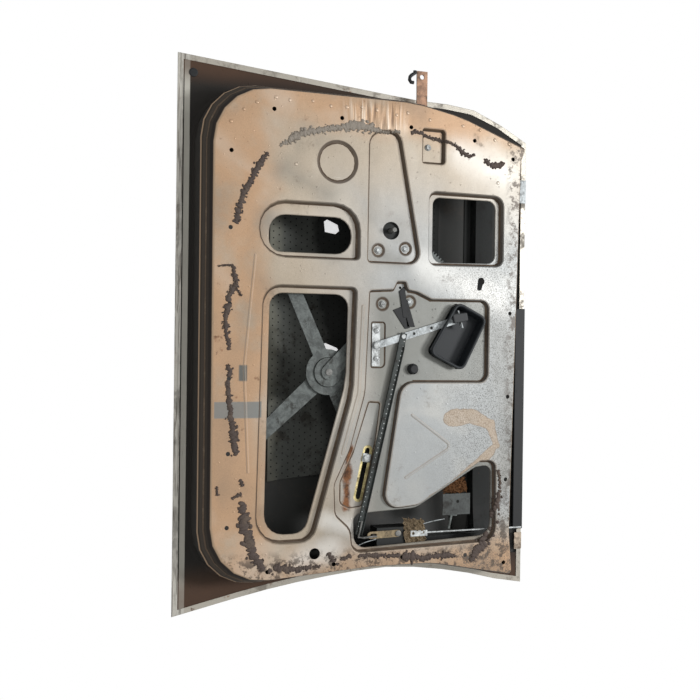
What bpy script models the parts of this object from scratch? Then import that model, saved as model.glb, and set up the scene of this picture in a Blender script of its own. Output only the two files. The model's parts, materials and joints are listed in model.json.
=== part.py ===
"""Right-hand front car door shell, stripped of its trim, with its window regulator and door release.

The door is built standing, inner side facing -Y, front edge towards -X, belt line at the top.
Places on the door are shares of its length (X) and height (Z), read from the front bottom corner
of the skin. Depths are read from the flange plane, where the inner panel and the skin meet.
The finished door hangs from an empty, which puts the lower hinge face at the origin.
"""
import math

import bpy
import bmesh
from mathutils import Vector

# Overall sizes
DOOR_LENGTH = 1.000
DOOR_HEIGHT = 0.700
PANEL_DEPTH = 0.075
PANEL_SHEET = 0.0012
SKIN_SHEET = 0.0010
SKIN_CROWN = 0.028
HEM_WIDTH = 0.010
GAP = 0.0003
OVERRUN = 0.004
MERGE = 0.00005
SMALLEST_RADIUS = 0.0002
ARC_STEP = math.radians(20)

# Depths of the pressed levels below the inner plane
RECESS_DEPTH = 0.009
SEAT_DEPTH = 0.002
OPENING_DEPTH = 0.012
LIP_DEPTH = 0.003
CUP_POCKET_DEPTH = 0.020
WALL_SLOPE = 0.005
SEAT_SLOPE = 0.0015
BEAD_HEIGHT = 0.0015
BEAD_WIDTH = 0.007
BEAD_SLOPE = 0.002

INNER_Y = -PANEL_DEPTH
RECESS_Y = INNER_Y + RECESS_DEPTH
SEAT_Y = RECESS_Y + SEAT_DEPTH
OPENING_Y = INNER_Y + OPENING_DEPTH
LIP_Y = OPENING_Y + LIP_DEPTH
POCKET_Y = INNER_Y + CUP_POCKET_DEPTH

# Edges of the skin: height share, length share
FRONT_EDGE_SHARES = [(0.0, 0.0), (0.166, 0.011), (0.40, 0.0255), (0.647, 0.041), (0.84, 0.051), (1.0, 0.105)]
REAR_EDGE_SHARES = [(0.0, 1.0), (0.249, 0.963), (0.43, 0.945), (0.60, 0.937), (0.79, 0.953), (0.92, 0.975), (1.0, 0.985)]
SKIN_COLUMNS = 15
SKIN_ROWS = 12
CROWN_RAMP_SHARE = 0.22

# Outlines of the inner panel: length share, height share, corner radius as a share of the height
RIM_SHARES = [
    (0.068, 0.077, 0.143), (0.934, 0.080, 0.140), (0.916, 0.500, 0.21), (0.916, 0.671, 0.21),
    (0.948, 0.911, 0.009), (0.868, 0.901, 0.057), (0.160, 0.923, 0.029), (0.136, 0.937, 0.007),
    (0.086, 0.743, 0.286), (0.068, 0.607, 0.286),
]
FOOT_SHARES = [
    (0.058, 0.029, 0.136), (0.943, 0.031, 0.131), (0.922, 0.500, 0.21), (0.922, 0.671, 0.21),
    (0.956, 0.926, 0.009), (0.870, 0.917, 0.057), (0.152, 0.943, 0.029), (0.126, 0.954, 0.007),
    (0.076, 0.749, 0.286), (0.058, 0.611, 0.286),
]
# Share of the way from the rim to the foot, share of the panel depth that is left there
WALL_SHARES = [(0.0, 1.0), (0.10, 0.987), (0.30, 0.93), (0.42, 0.87), (0.60, 0.845), (0.72, 0.79), (0.72, 0.11),
               (0.84, 0.03), (1.0, 0.0)]
WALL_SHARE = 0.72

OPENING_1_RECESS_SHARES = [(0.259, 0.187, 0.071), (0.362, 0.187, 0.071), (0.362, 0.460, 0.014), (0.259, 0.460, 0.083)]
OPENING_1_SHARES = [(0.284, 0.219, 0.043), (0.350, 0.219, 0.031), (0.350, 0.439, 0.043), (0.284, 0.439, 0.046)]
OPENING_2_RECESS_SHARES = [(0.408, 0.199, 0.051), (0.868, 0.184, 0.069), (0.868, 0.340, 0.049),
                           (0.600, 0.446, 0.171), (0.408, 0.454, 0.017)]
OPENING_2_SHARES = [(0.423, 0.223, 0.034), (0.852, 0.214, 0.054), (0.852, 0.321, 0.040),
                    (0.580, 0.429, 0.171), (0.423, 0.433, 0.034)]
OPENING_4_RECESS_SHARES = [(0.225, 0.650, 0.024), (0.366, 0.650, 0.023), (0.363, 0.876, 0.024), (0.226, 0.876, 0.031)]
OPENING_4_SHARES = [(0.236, 0.670, 0.020), (0.358, 0.670, 0.026), (0.355, 0.857, 0.023), (0.236, 0.857, 0.023)]
TONGUE_SHARES = [(0.119, 0.477, 0.046), (0.366, 0.476, 0.013), (0.366, 0.636, 0.034), (0.119, 0.569, 0.037)]
RUN_RECESS_SHARES = [(0.109, 0.628, 0.009), (0.178, 0.628, 0.009), (0.178, 0.700, 0.013), (0.109, 0.700, 0.013)]
MECHANISM_SHARES = [
    (0.412, 0.483, 0.011), (0.600, 0.473, 0.086), (0.700, 0.434, 0.086), (0.765, 0.391, 0.043),
    (0.822, 0.394, 0.034), (0.850, 0.436, 0.029), (0.893, 0.443, 0.037), (0.886, 0.866, 0.043),
    (0.728, 0.863, 0.026), (0.728, 0.814, 0.020), (0.806, 0.631, 0.043), (0.812, 0.534, 0.034),
    (0.584, 0.583, 0.037), (0.584, 0.836, 0.029), (0.424, 0.836, 0.026), (0.425, 0.664, 0.020),
    (0.412, 0.623, 0.029), (0.409, 0.597, 0.006), (0.394, 0.590, 0.009), (0.394, 0.562, 0.009), (0.409, 0.552, 0.006),
]
OPENING_3_SHARES = [(0.821, 0.453, 0.020), (0.884, 0.456, 0.031), (0.873, 0.851, 0.037), (0.739, 0.851, 0.026),
                    (0.743, 0.804, 0.017), (0.815, 0.629, 0.057)]
GUIDE_RECESS_SHARES = [(0.614, 0.489, 0.011), (0.704, 0.449, 0.086), (0.762, 0.411, 0.029), (0.803, 0.411, 0.020),
                       (0.813, 0.440, 0.020), (0.810, 0.480, 0.014), (0.690, 0.516, 0.029), (0.616, 0.529, 0.011)]
BRACKET_POCKET_SHARES = [(0.470, 0.495, 0.006), (0.556, 0.495, 0.006), (0.556, 0.537, 0.014), (0.470, 0.537, 0.010)]
KEYHOLE_SHARES = [(0.3835, 0.799, 0.008), (0.408, 0.795, 0.005), (0.408, 0.808, 0.005), (0.3835, 0.819, 0.008)]
LONG_BEAD_SHARES = [(0.440, 0.468), (0.600, 0.459), (0.712, 0.415)]
CREASE_SHARES = [(0.356, 0.180), (0.554, 0.154), (0.740, 0.167)]
PLATEAU_BEAD_SHARES = [(0.640, 0.606), (0.701, 0.727), (0.758, 0.590)]
DISH_CENTRE_SHARES = (0.186, 0.394)
DISH_RADIUS = 0.039
DISH_DEPTH = 0.004

CLIP_HOLE_RADIUS = 0.004
CLIP_HOLE_SHARES = [
    (0.102, 0.224), (0.107, 0.404), (0.112, 0.597), (0.126, 0.783), (0.155, 0.900), (0.180, 0.116), (0.313, 0.116),
    (0.445, 0.116), (0.575, 0.116), (0.705, 0.116), (0.833, 0.115), (0.914, 0.220), (0.908, 0.396), (0.903, 0.586),
    (0.907, 0.770), (0.926, 0.887), (0.767, 0.890), (0.609, 0.893), (0.450, 0.897),
]
BUTTON_HOLE_SHARES = (0.887, 0.344)
BUTTON_HOLE_RADIUS = 0.010
CLIP_HOLE_SIDES = 8
ROUND_SIDES = 20

# Belt slot, hinge bolt holes and latch cut-out in the side walls
SLOT_FRONT_SHARE = 0.165
SLOT_REAR_SHARE = 0.925
SLOT_BOTTOM_SHARE = 0.893
SLOT_INNER_MARGIN = 0.007
HINGE_SHARES = (0.280, 0.545)
HINGE_BOLT_PITCH = 0.044
HINGE_BOLT_RADIUS = 0.0045
HINGE_FACE_Y = -0.040
STRIKER_SHARE = 0.558
STRIKER_SLOT_HEIGHT = 0.016

# Window regulator
BASE_SHEET = 0.002
ARM_SHEET = 0.0025
ARM_GAP = 0.003
LIFT_STANDOFF = 0.009
LIFT_PIVOT_SHARES = (0.449, 0.5686)
WINDER_SHARES = (0.303, 0.5486)
GUIDE_REST_SHARES = (0.7197, 0.488)
ARM_REST_ANGLE = math.radians(36.0)
ARM_OUTER_RATIO_SHARE = 1.16
LIFT_RANGE = math.radians(66)
SECTOR_TEETH = 137
PINION_TEETH = 9
SECTOR_CUT_TEETH = 31
SECTOR_TEETH_PAST_MESH = 3
PRESSURE_ANGLE = math.radians(20)
PROFILE_SHIFT_SHARE = 0.5
PINION_ADDENDUM_SHARE = 1.3
SECTOR_ADDENDUM_SHARE = 0.5
PINION_DEDENDUM_SHARE = 0.75
SECTOR_DEDENDUM_SHARE = 1.75
TOOTH_THINNING = 0.00015
FLANK_SAMPLES = 3
HUB_RADIUS = 0.024
LUG_RADIUS = 0.014
RING_RADIUS = 0.042
RING_BORE_RADIUS = 0.027
ARM_HALF_WIDTH = 0.014
TAIL_HUB_RADIUS = 0.018
ARM_END_RADIUS = 0.013
PIVOT_RADIUS = 0.006
STUD_RADIUS = 0.004
STUD_HEAD_RADIUS = 0.0065
ROLLER_RADIUS = 0.012
ROLLER_WIDTH = 0.007
ROLLER_FLANGE = 0.0015
BOLT_SHARES = [(0.340, 0.513), (0.335, 0.590), (0.438, 0.527), (0.433, 0.604)]
BOLT_RADIUS = 0.003
BOLT_HEAD_RADIUS = 0.0062
BOLT_HEAD_HEIGHT = 0.004
BOLT_SEAT_RADIUS = 0.013
BOLT_TAIL = 0.004
WINDER_HOLE_RADIUS = 0.0165
DRUM_RADIUS = 0.023
DRUM_DEPTH = 0.0075
DRUM_WALL = 0.0015
SPINDLE_RADIUS = 0.0045
SPINDLE_REACH = 0.018
SPLINE_COUNT = 12
SPLINE_DEPTH = 0.0007
BASE_PLATE_SHARES = [(0.268, 0.500, 0.020), (0.340, 0.489, 0.020), (0.470, 0.497, 0.020), (0.478, 0.590, 0.030),
                     (0.440, 0.632, 0.015), (0.330, 0.618, 0.015), (0.268, 0.600, 0.020)]

# Guide rail of the regulator
RAIL_WIDTH = 0.038
RAIL_SLOT_WIDTH = 0.009
RAIL_SLOT_SPARE = 0.014
RAIL_END = 0.013
PANEL_SLOT_WIDTH = 0.019
SLIDER_SIDE = 0.0155
SLIDER_THICKNESS = 0.0024

# Door release
LEVER_SHEET = 0.002
LEVER_WIDTH = 0.013
LEVER_PIVOT_SHARES = (0.514, 0.510)
LEVER_END_SHARES = (0.460, 0.760)
LINK_JOINT_SHARES = (0.497, 0.584)
LINK_END_SHARES = (0.858, 0.464)
LEVER_BRACKET_SHARES = [(0.474, 0.4985, 0.003), (0.552, 0.4985, 0.003), (0.552, 0.521, 0.003), (0.474, 0.521, 0.003)]
LEVER_SCREW_SHARES = [(0.487, 0.5105), (0.538, 0.5105)]
LEVER_HOLE_SHARES = [0.42, 0.62]
LEVER_RISE = 0.0023
TAB_LENGTH = 0.034
TAB_HEIGHT = 0.009
RIVET_RADIUS = 0.0028
RIVET_HEAD_RADIUS = 0.0058
RIVET_HEAD_HEIGHT = 0.0016
LINK_SHEET = 0.0012
LINK_WIDTH = 0.013
LINK_FLANGE = 0.0045
LINK_TONGUE = 0.016
LATCH_ROD_RADIUS = 0.002
CRANK_PIVOT_SHARES = (0.862, 0.583)
CRANK_FOOT_SHARES = (0.863, 0.514)
CRANK_WIDTH = 0.013
CRANK_SLOT_LENGTH = 0.012
CUP_SHARES = [(0.433, 0.736), (0.526, 0.657), (0.558, 0.750), (0.462, 0.820)]
CUP_RADIUS = 0.009
CUP_WALL = 0.0025
CUP_RISE = 0.006
CUP_TAPER = 0.002
LEVER_SWEEP = math.radians(14)
SCREW_RADIUS = 0.0025
SCREW_HEAD_RADIUS = 0.0052
SCREW_HEAD_HEIGHT = 0.0022

# Latch
LATCH_HEIGHT = 0.066
LATCH_LENGTH = 0.068
LATCH_INNER_Y = -0.0567
LATCH_OUTER_Y = -0.022
LATCH_WALL = 0.004
CLAW_THICKNESS = 0.007
CLAW_RADIUS = 0.014
CLAW_NOTCH_RADIUS = 0.006
CLAW_PIN_RADIUS = 0.003
SILL_ROD_RADIUS = 0.00175
SILL_ROD_X_SHARE = 0.864
SILL_ROD_Y = -0.0545
SILL_ROD_TOP_SHARE = 0.956
CLEVIS_WIDTH = 0.011
CLEVIS_LENGTH = 0.034

# Channels, brackets and belt trim
RUN_WIDTH = 0.014
RUN_DEPTH = 0.014
RUN_SHEET = 0.0012
RUN_OUTER_Y = -0.004
FRONT_RUN_SHARE = 0.137
REAR_RUN_SHARE = 0.885
RUN_BOTTOM_SHARE = 0.20
RUN_TOP_SHARE = 0.86
RUN_BOLT_SHARES = (0.145, 0.651)
STRAP_SHEET = 0.002
STRAP_WIDTH = 0.020
PAD_THICKNESS = 0.005
PAD_COLUMNS = (3, 12)
PAD_ROWS = (3, 9)
BELT_RAIL_COLUMNS = (1, 14)
BELT_RAIL_ROWS = (10, 11)
BELT_RAIL_DEPTH = 0.013
BELT_RAIL_SHEET = 0.0012
BELT_RAIL_PROFILE_SHARES = [(0.0, 0.0), (0.2, 0.0), (0.3, 1.0), (0.7, 1.0), (0.8, 0.0), (1.0, 0.0)]
CHECK_SHARE = 0.655
CHECK_REACH = 0.073
CHECK_WIDTH = 0.022
CHECK_SHEET = 0.003
CHECK_Y = -0.030
CHECK_HOLE_RADIUS = 0.0045
HOOK_RADIUS = 0.0035
STRIP_SHARES = (0.437, 0.877)
STRIP_HEIGHT = 0.022
STRIP_THICKNESS = 0.005
BELT_BRACKET_SHARES = (0.180, 0.226)
REAR_BRACKET_SHARES = (0.885, 0.918)
BELT_BRACKET_HEIGHT = 0.016
BELT_BRACKET_SHEET = 0.0015
STRAP_PATH_SHARES = [(0.404, 0.588), (0.463, 0.601), (0.462, 0.585), (0.414, 0.573)]
ROD_CLIP_SHARES = (0.557, 0.613)
ROD_CLIP_RADIUS = 0.010
ROD_CLIP_HEIGHT = 0.011
PLUG_SHARES = (0.033, 0.040)
PLUG_RADIUS = 0.008
NOTCH_HOLE_SHARES = (0.407, 0.576)
NOTCH_HOLE_RADIUS = 0.0025
CORD_NOTCH_RADIUS = 0.002

# Colours: red, green, blue, roughness, metallic
COLOURS = {
    "panel_paint": (0.47, 0.41, 0.35, 0.42, 0.75),
    "skin_paint": (0.36, 0.33, 0.30, 0.5, 0.7),
    "galvanised": (0.36, 0.39, 0.40, 0.55, 0.8),
    "zinc": (0.72, 0.72, 0.70, 0.35, 0.9),
    "yellow_zinc": (0.62, 0.52, 0.24, 0.4, 0.8),
    "steel": (0.45, 0.45, 0.44, 0.4, 0.9),
    "black_plastic": (0.035, 0.04, 0.045, 0.5, 0.0),
    "rubber": (0.02, 0.022, 0.024, 0.7, 0.0),
    "pad": (0.40, 0.37, 0.29, 0.9, 0.0),
    "copper_paint": (0.60, 0.42, 0.29, 0.5, 0.5),
    "dark_steel": (0.12, 0.12, 0.12, 0.6, 0.6),
}


def material(slot):
    """The shared material of one finish."""
    found = bpy.data.materials.get(slot)
    if found:
        return found
    made = bpy.data.materials.new(slot)
    made.use_nodes = True
    red, green, blue, roughness, metallic = COLOURS[slot]
    shader = made.node_tree.nodes["Principled BSDF"]
    shader.inputs["Base Color"].default_value = (red, green, blue, 1)
    shader.inputs["Roughness"].default_value = roughness
    shader.inputs["Metallic"].default_value = metallic
    made.diffuse_color = (red, green, blue, 1)
    return made


def new_collection(name):
    made = bpy.data.collections.new(name)
    bpy.context.scene.collection.children.link(made)
    return made


def clear_scene():
    for thing in list(bpy.data.objects):
        bpy.data.objects.remove(thing, do_unlink=True)


def add_object(name, mesh, slot):
    """An object of one mesh in the door's collection, hung from the door's origin."""
    made = bpy.data.objects.new(name, mesh)
    if slot:
        mesh.materials.append(material(slot))
    PARTS.objects.link(made)
    made.parent = ORIGIN
    return made


def set_pivot(piece, pivot):
    """Move the object's origin to the pivot and leave its mesh where it is."""
    for vertex in piece.data.vertices:
        vertex.co -= pivot
    piece.location = pivot
    return piece


def on_door(shares):
    """A place on the door, as X and Z, from its shares of the length and the height."""
    return Vector((shares[0] * DOOR_LENGTH, shares[1] * DOOR_HEIGHT))


def at_depth(place, depth):
    return Vector((place.x, depth, place.y))


def polar(centre, radius, angle):
    return centre + radius * Vector((math.cos(angle), math.sin(angle)))


def arc(centre, radius, start, end, count):
    """Points along an arc, both ends among them."""
    return [polar(centre, radius, start + (end - start) * step / count) for step in range(count + 1)]


def circle(centre, radius, sides=ROUND_SIDES):
    return [polar(centre, radius, math.tau * step / sides) for step in range(sides)]


def scaled_corners(shares):
    """Corners in metres, turned counter-clockwise: X, Z, radius."""
    corners = [(on_door(share), share[2] * DOOR_HEIGHT) for share in shares]
    places = [corner[0] for corner in corners]
    area = sum(a.x * b.y - b.x * a.y for a, b in zip(places, places[1:] + places[:1]))
    return corners if area > 0 else corners[::-1]


def corner_frames(corners):
    """For each corner: place, radius that its sides allow, both side normals, and the turn between them."""
    frames = []
    count = len(corners)
    for index, (place, radius) in enumerate(corners):
        arrive = place - corners[index - 1][0]
        leave = corners[(index + 1) % count][0] - place
        turn = math.atan2(arrive.x * leave.y - arrive.y * leave.x, arrive.dot(leave))
        spread = math.tan(abs(turn) / 2)
        if spread > 0:
            radius = min(radius, 0.48 * min(arrive.length, leave.length) / spread)
        arrive.normalize()
        leave.normalize()
        frames.append((place, radius, arrive, leave, turn))
    return frames


def rounded_loop(corners, inset=0.0, counts=None):
    """A polygon with round corners, its sides moved inwards by the inset, with as many points at any inset."""
    points = []
    for index, (place, radius, arrive, leave, turn) in enumerate(corner_frames(corners)):
        normal_in = Vector((-arrive.y, arrive.x))
        normal_out = Vector((-leave.y, leave.x))
        moved = place + (normal_in + normal_out) * (inset / (1 + normal_in.dot(normal_out)))
        side = 1 if turn > 0 else -1
        reach = max(radius - side * inset, SMALLEST_RADIUS)
        start = moved - arrive * (reach * math.tan(abs(turn) / 2))
        centre = start + normal_in * (side * reach)
        steps = counts[index] if counts else arc_count(turn)
        first = math.atan2(start.y - centre.y, start.x - centre.x)
        points += arc(centre, reach, first, first + turn, steps)
    return points


def grown(corners, growth):
    """The same corners with all sides moved outwards."""
    made = []
    for place, radius, arrive, leave, turn in corner_frames(corners):
        outward = Vector((arrive.y, -arrive.x)) + Vector((leave.y, -leave.x))
        made.append((place + outward * (growth / (1 + arrive.dot(leave))), radius + growth))
    return made


def cup_corners():
    return [(on_door(shares), CUP_RADIUS) for shares in CUP_SHARES]


def arc_count(turn):
    return max(1, math.ceil(abs(turn) / ARC_STEP))


def arc_counts(corners):
    return [arc_count(frame[4]) for frame in corner_frames(corners)]


def ribbon_corners(path_shares, width):
    """Corners of a thin strip of one width along a path, with concentric bends."""
    path = [on_door(share) for share in path_shares]
    left, right = [], []
    for index, place in enumerate(path):
        arrive = (place - path[max(index - 1, 0)] if index else path[1] - place).normalized()
        leave = (path[index + 1] - place if index < len(path) - 1 else place - path[index - 1]).normalized()
        normals = Vector((-arrive.y, arrive.x)) + Vector((-leave.y, leave.x))
        across = normals * (width / 2 / (1 + arrive.dot(leave)))
        side = 1 if arrive.x * leave.y > arrive.y * leave.x else -1
        at_end = index in (0, len(path) - 1)
        left.append((place + across, width / 2 if at_end else width * (1.5 - side / 2)))
        right.append((place - across, width / 2 if at_end else width * (1.5 + side / 2)))
    return right + left[::-1]


def read_edge(table, share):
    """A smooth reading of an edge table: length share at a height share."""
    for index in range(len(table) - 1):
        low, high = table[index], table[index + 1]
        if share <= high[0]:
            break
    step = (share - low[0]) / (high[0] - low[0])
    slopes = []
    for place in (index, index + 1):
        before, after = table[max(place - 1, 0)], table[min(place + 1, len(table) - 1)]
        slopes.append((after[1] - before[1]) / (after[0] - before[0]) * (high[0] - low[0]))
    square, cube = step * step, step * step * step
    return ((2 * cube - 3 * square + 1) * low[1] + (cube - 2 * square + step) * slopes[0]
            + (3 * square - 2 * cube) * high[1] + (cube - square) * slopes[1])


def skin_place(column_share, row_share, inset=0.0):
    """X and Z on the skin's outline grid, drawn in from all four edges by the inset."""
    height = inset + row_share * (DOOR_HEIGHT - 2 * inset)
    edge_share = height / DOOR_HEIGHT
    front = read_edge(FRONT_EDGE_SHARES, edge_share) * DOOR_LENGTH + inset
    rear = read_edge(REAR_EDGE_SHARES, edge_share) * DOOR_LENGTH - inset
    return Vector((front + column_share * (rear - front), height))


def skin_loop(inset):
    """The skin's outline, counter-clockwise from its front bottom corner."""
    columns = [step / SKIN_COLUMNS for step in range(SKIN_COLUMNS)]
    rows = [step / SKIN_ROWS for step in range(SKIN_ROWS)]
    loop = [skin_place(share, 0, inset) for share in columns]
    loop += [skin_place(1, share, inset) for share in rows]
    loop += [skin_place(1 - share, 1, inset) for share in columns]
    loop += [skin_place(0, 1 - share, inset) for share in rows]
    return loop


def crown_at(place):
    """How far the skin bulges outwards at a place on the door."""
    edge_share = min(max(place.y / DOOR_HEIGHT, 0), 1)
    front = read_edge(FRONT_EDGE_SHARES, edge_share) * DOOR_LENGTH
    rear = read_edge(REAR_EDGE_SHARES, edge_share) * DOOR_LENGTH
    column_share = (place.x - front) / (rear - front)
    crown = SKIN_CROWN
    for share in (column_share, edge_share):
        ramp = min(max(min(share, 1 - share) / CROWN_RAMP_SHARE, 0), 1)
        crown *= 1 - (1 - ramp) ** 2
    return crown


SKIN_OUTER_Y = PANEL_SHEET + GAP + SKIN_SHEET


class Sheet:
    """An open pressed surface, built ring by ring, which Solidify makes into sheet metal."""

    def __init__(self):
        self.mesh = bmesh.new()

    def ring(self, points, depth):
        return [self.mesh.verts.new(at_depth(point, depth)) for point in points]

    def rings_between(self, outer, inner):
        """Join two rings of as many points with a strip of four-sided faces."""
        count = len(outer)
        for index in range(count):
            follow = (index + 1) % count
            self.mesh.faces.new((outer[index], outer[follow], inner[follow], inner[index]))

    def floor(self, rings):
        """Fill the flat area inside the first ring and outside the others."""
        edges = []
        for ring in rings:
            for index, vertex in enumerate(ring):
                other = ring[(index + 1) % len(ring)]
                edge = self.mesh.edges.get((vertex, other)) or self.mesh.edges.new((vertex, other))
                edges.append(edge)
        bmesh.ops.triangle_fill(self.mesh, use_beauty=True, edges=edges)

    def press(self, corners, depth, step, slope):
        """Press an outline to another level with rounded shoulders: the rim ring and the floor ring."""
        rim = self.ring(rounded_loop(corners), depth)
        shoulder = self.ring(rounded_loop(corners, slope * 0.35), depth + step * 0.15)
        foot = self.ring(rounded_loop(corners, slope * 0.75), depth + step * 0.85)
        floor = self.ring(rounded_loop(corners, slope), depth + step)
        self.rings_between(rim, shoulder)
        self.rings_between(shoulder, foot)
        self.rings_between(foot, floor)
        return rim, floor

    def shallow_press(self, corners, depth, step, slope):
        """A press of one plain slope, for beads and seats."""
        rim = self.ring(rounded_loop(corners), depth)
        floor = self.ring(rounded_loop(corners, slope), depth + step)
        self.rings_between(rim, floor)
        return rim, floor

    def round_press(self, centre, radius, depth, step, slope, sides=ROUND_SIDES):
        rim = self.ring(circle(centre, radius, sides), depth)
        floor = self.ring(circle(centre, radius - slope, sides), depth + step)
        self.rings_between(rim, floor)
        return rim, floor

    def hole(self, centre, radius, depth, sides=ROUND_SIDES):
        return self.ring(circle(centre, radius, sides), depth)

    def lipped_hole(self, corners, depth):
        """An opening whose edge is turned away from the viewer."""
        edge = self.ring(rounded_loop(corners, -LIP_DEPTH * 0.4), depth)
        lip = self.ring(rounded_loop(corners), depth + LIP_DEPTH * 0.4)
        end = self.ring(rounded_loop(corners), depth + LIP_DEPTH)
        self.rings_between(edge, lip)
        self.rings_between(lip, end)
        return edge

    def finish(self, name, slot, thickness, facing):
        """The object: the surface faces `facing`, and its sheet grows away from that side."""
        bmesh.ops.recalc_face_normals(self.mesh, faces=self.mesh.faces)
        self.mesh.normal_update()
        largest = max(self.mesh.faces, key=lambda face: face.calc_area() * abs(face.normal.dot(facing)))
        if largest.normal.dot(facing) < 0:
            bmesh.ops.reverse_faces(self.mesh, faces=self.mesh.faces)
        data = bpy.data.meshes.new(name)
        self.mesh.to_mesh(data)
        self.mesh.free()
        piece = add_object(name, data, slot)
        solidify(piece, thickness)
        return piece


INBOARD = Vector((0, -1, 0))
OUTBOARD = Vector((0, 1, 0))


def solidify(piece, thickness):
    shell = piece.modifiers.new("sheet", "SOLIDIFY")
    shell.thickness = thickness
    shell.offset = -1
    shell.use_even_offset = True
    return shell


def plate(name, outline, holes, inboard_y, thickness, slot):
    """A flat plate with holes, its inboard face at one depth."""
    sheet = Sheet()
    rings = [sheet.ring(loop, inboard_y) for loop in [outline] + holes]
    sheet.floor(rings)
    return sheet.finish(name, slot, thickness, INBOARD)


def turned(name, profile, place, slot, closed=False, steps=ROUND_SIDES):
    """A turned piece: (radius, height) from its top centre down its outside; height runs inboard from the place."""
    data = bpy.data.meshes.new(name)
    vertices = [(radius, 0, height) for radius, height in profile]
    edges = [(index, index + 1) for index in range(len(profile) - 1)]
    if closed:
        edges.append((len(profile) - 1, 0))
    data.from_pydata(vertices, edges, [])
    piece = add_object(name, data, slot)
    screw = piece.modifiers.new("turn", "SCREW")
    screw.steps = steps
    screw.render_steps = steps
    screw.use_merge_vertices = True
    screw.merge_threshold = MERGE
    piece.location = place
    piece.rotation_euler = (math.radians(90), 0, 0)
    return piece


def headed_pin(name, place, slot, head, head_height, shank, shank_length, tail=0.0, tail_height=0.0, steps=ROUND_SIDES):
    """A headed pin: its head stands inboard of the place, its shank runs outboard, with a wider tail if it has one."""
    profile = [(0, head_height), (head * 0.7, head_height), (head, head_height * 0.6), (head, 0), (shank, 0),
               (shank, -shank_length)]
    if tail:
        profile += [(tail, -shank_length), (tail, -shank_length - tail_height)]
    profile.append((0, profile[-1][1]))
    return turned(name, profile, place, slot, steps=steps)


def bent_strip(name, path, width, thickness, slot, leans=None):
    """A strap bent along a path of points, its width upright, or leaning by X per Z where leans are given."""
    strip = bmesh.new()
    halves = [Vector((lean, 0, 1)) * (width / 2) for lean in leans or [0] * len(path)]
    sides = [[strip.verts.new(point + half * side) for point, half in zip(path, halves)] for side in (-1, 1)]
    for index in range(len(path) - 1):
        strip.faces.new((sides[0][index], sides[0][index + 1], sides[1][index + 1], sides[1][index]))
    data = bpy.data.meshes.new(name)
    strip.to_mesh(data)
    strip.free()
    piece = add_object(name, data, slot)
    solidify(piece, thickness)
    return piece


def box_mesh(name, low, high):
    """A box as a mesh from its lowest and highest corners."""
    made = bmesh.new()
    bmesh.ops.create_cube(made, size=1.0)
    for vertex in made.verts:
        vertex.co = Vector(low[axis] if vertex.co[axis] < 0 else high[axis] for axis in range(3))
    data = bpy.data.meshes.new(name)
    made.to_mesh(data)
    made.free()
    return data


def box_piece(name, low, high, slot):
    return add_object(name, box_mesh(name, low, high), slot)


def rod(name, points, radius, slot, resolution=2):
    """A round wire along points."""
    data = bpy.data.curves.new(name, "CURVE")
    data.dimensions = "3D"
    data.bevel_depth = radius
    data.bevel_resolution = resolution
    data.use_fill_caps = True
    spline = data.splines.new("POLY")
    spline.points.add(len(points) - 1)
    for point, place in zip(spline.points, points):
        point.co = (*place, 1)
    guide = bpy.data.objects.new(name + "_route", data)
    CUTTERS.objects.link(guide)
    bpy.context.view_layer.update()
    evaluated = guide.evaluated_get(bpy.context.evaluated_depsgraph_get())
    mesh = bpy.data.meshes.new_from_object(evaluated)
    bpy.data.objects.remove(guide)
    weld = bmesh.new()
    weld.from_mesh(mesh)
    bmesh.ops.remove_doubles(weld, verts=weld.verts, dist=MERGE)
    bmesh.ops.recalc_face_normals(weld, faces=weld.faces)
    weld.to_mesh(mesh)
    weld.free()
    mesh.materials.clear()
    return add_object(name, mesh, slot)


def cutter(name, data):
    made = bpy.data.objects.new(name, data)
    made.display_type = "WIRE"
    made.hide_render = True
    made.parent = ORIGIN
    CUTTERS.objects.link(made)
    return made


def combine(piece, other, operation):
    """A Boolean of the piece with a guide object."""
    change = piece.modifiers.new(other.name, "BOOLEAN")
    change.operation = operation
    change.solver = "EXACT"
    change.object = other
    return change


def cut_box(piece, name, low, high):
    return combine(piece, cutter(name, box_mesh(name, low, high)), "DIFFERENCE")


def cut_cylinder(piece, name, centre, axis, radius, length, sides=ROUND_SIDES):
    made = bmesh.new()
    bmesh.ops.create_cone(made, cap_ends=True, segments=sides, radius1=radius, radius2=radius, depth=length)
    data = bpy.data.meshes.new(name)
    made.to_mesh(data)
    made.free()
    tool = cutter(name, data)
    tool.location = centre
    tool.rotation_euler = axis.to_track_quat("Z", "Y").to_euler()
    return combine(piece, tool, "DIFFERENCE")


def wall_x(rear):
    """The outer face of the front or rear wall."""
    index = 3 if rear else 0
    rim = RIM_SHARES[index][0]
    foot = FOOT_SHARES[index][0]
    return (rim + (foot - rim) * WALL_SHARE) * DOOR_LENGTH


FRONT_WALL_X = wall_x(False)
REAR_WALL_X = wall_x(True)


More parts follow.
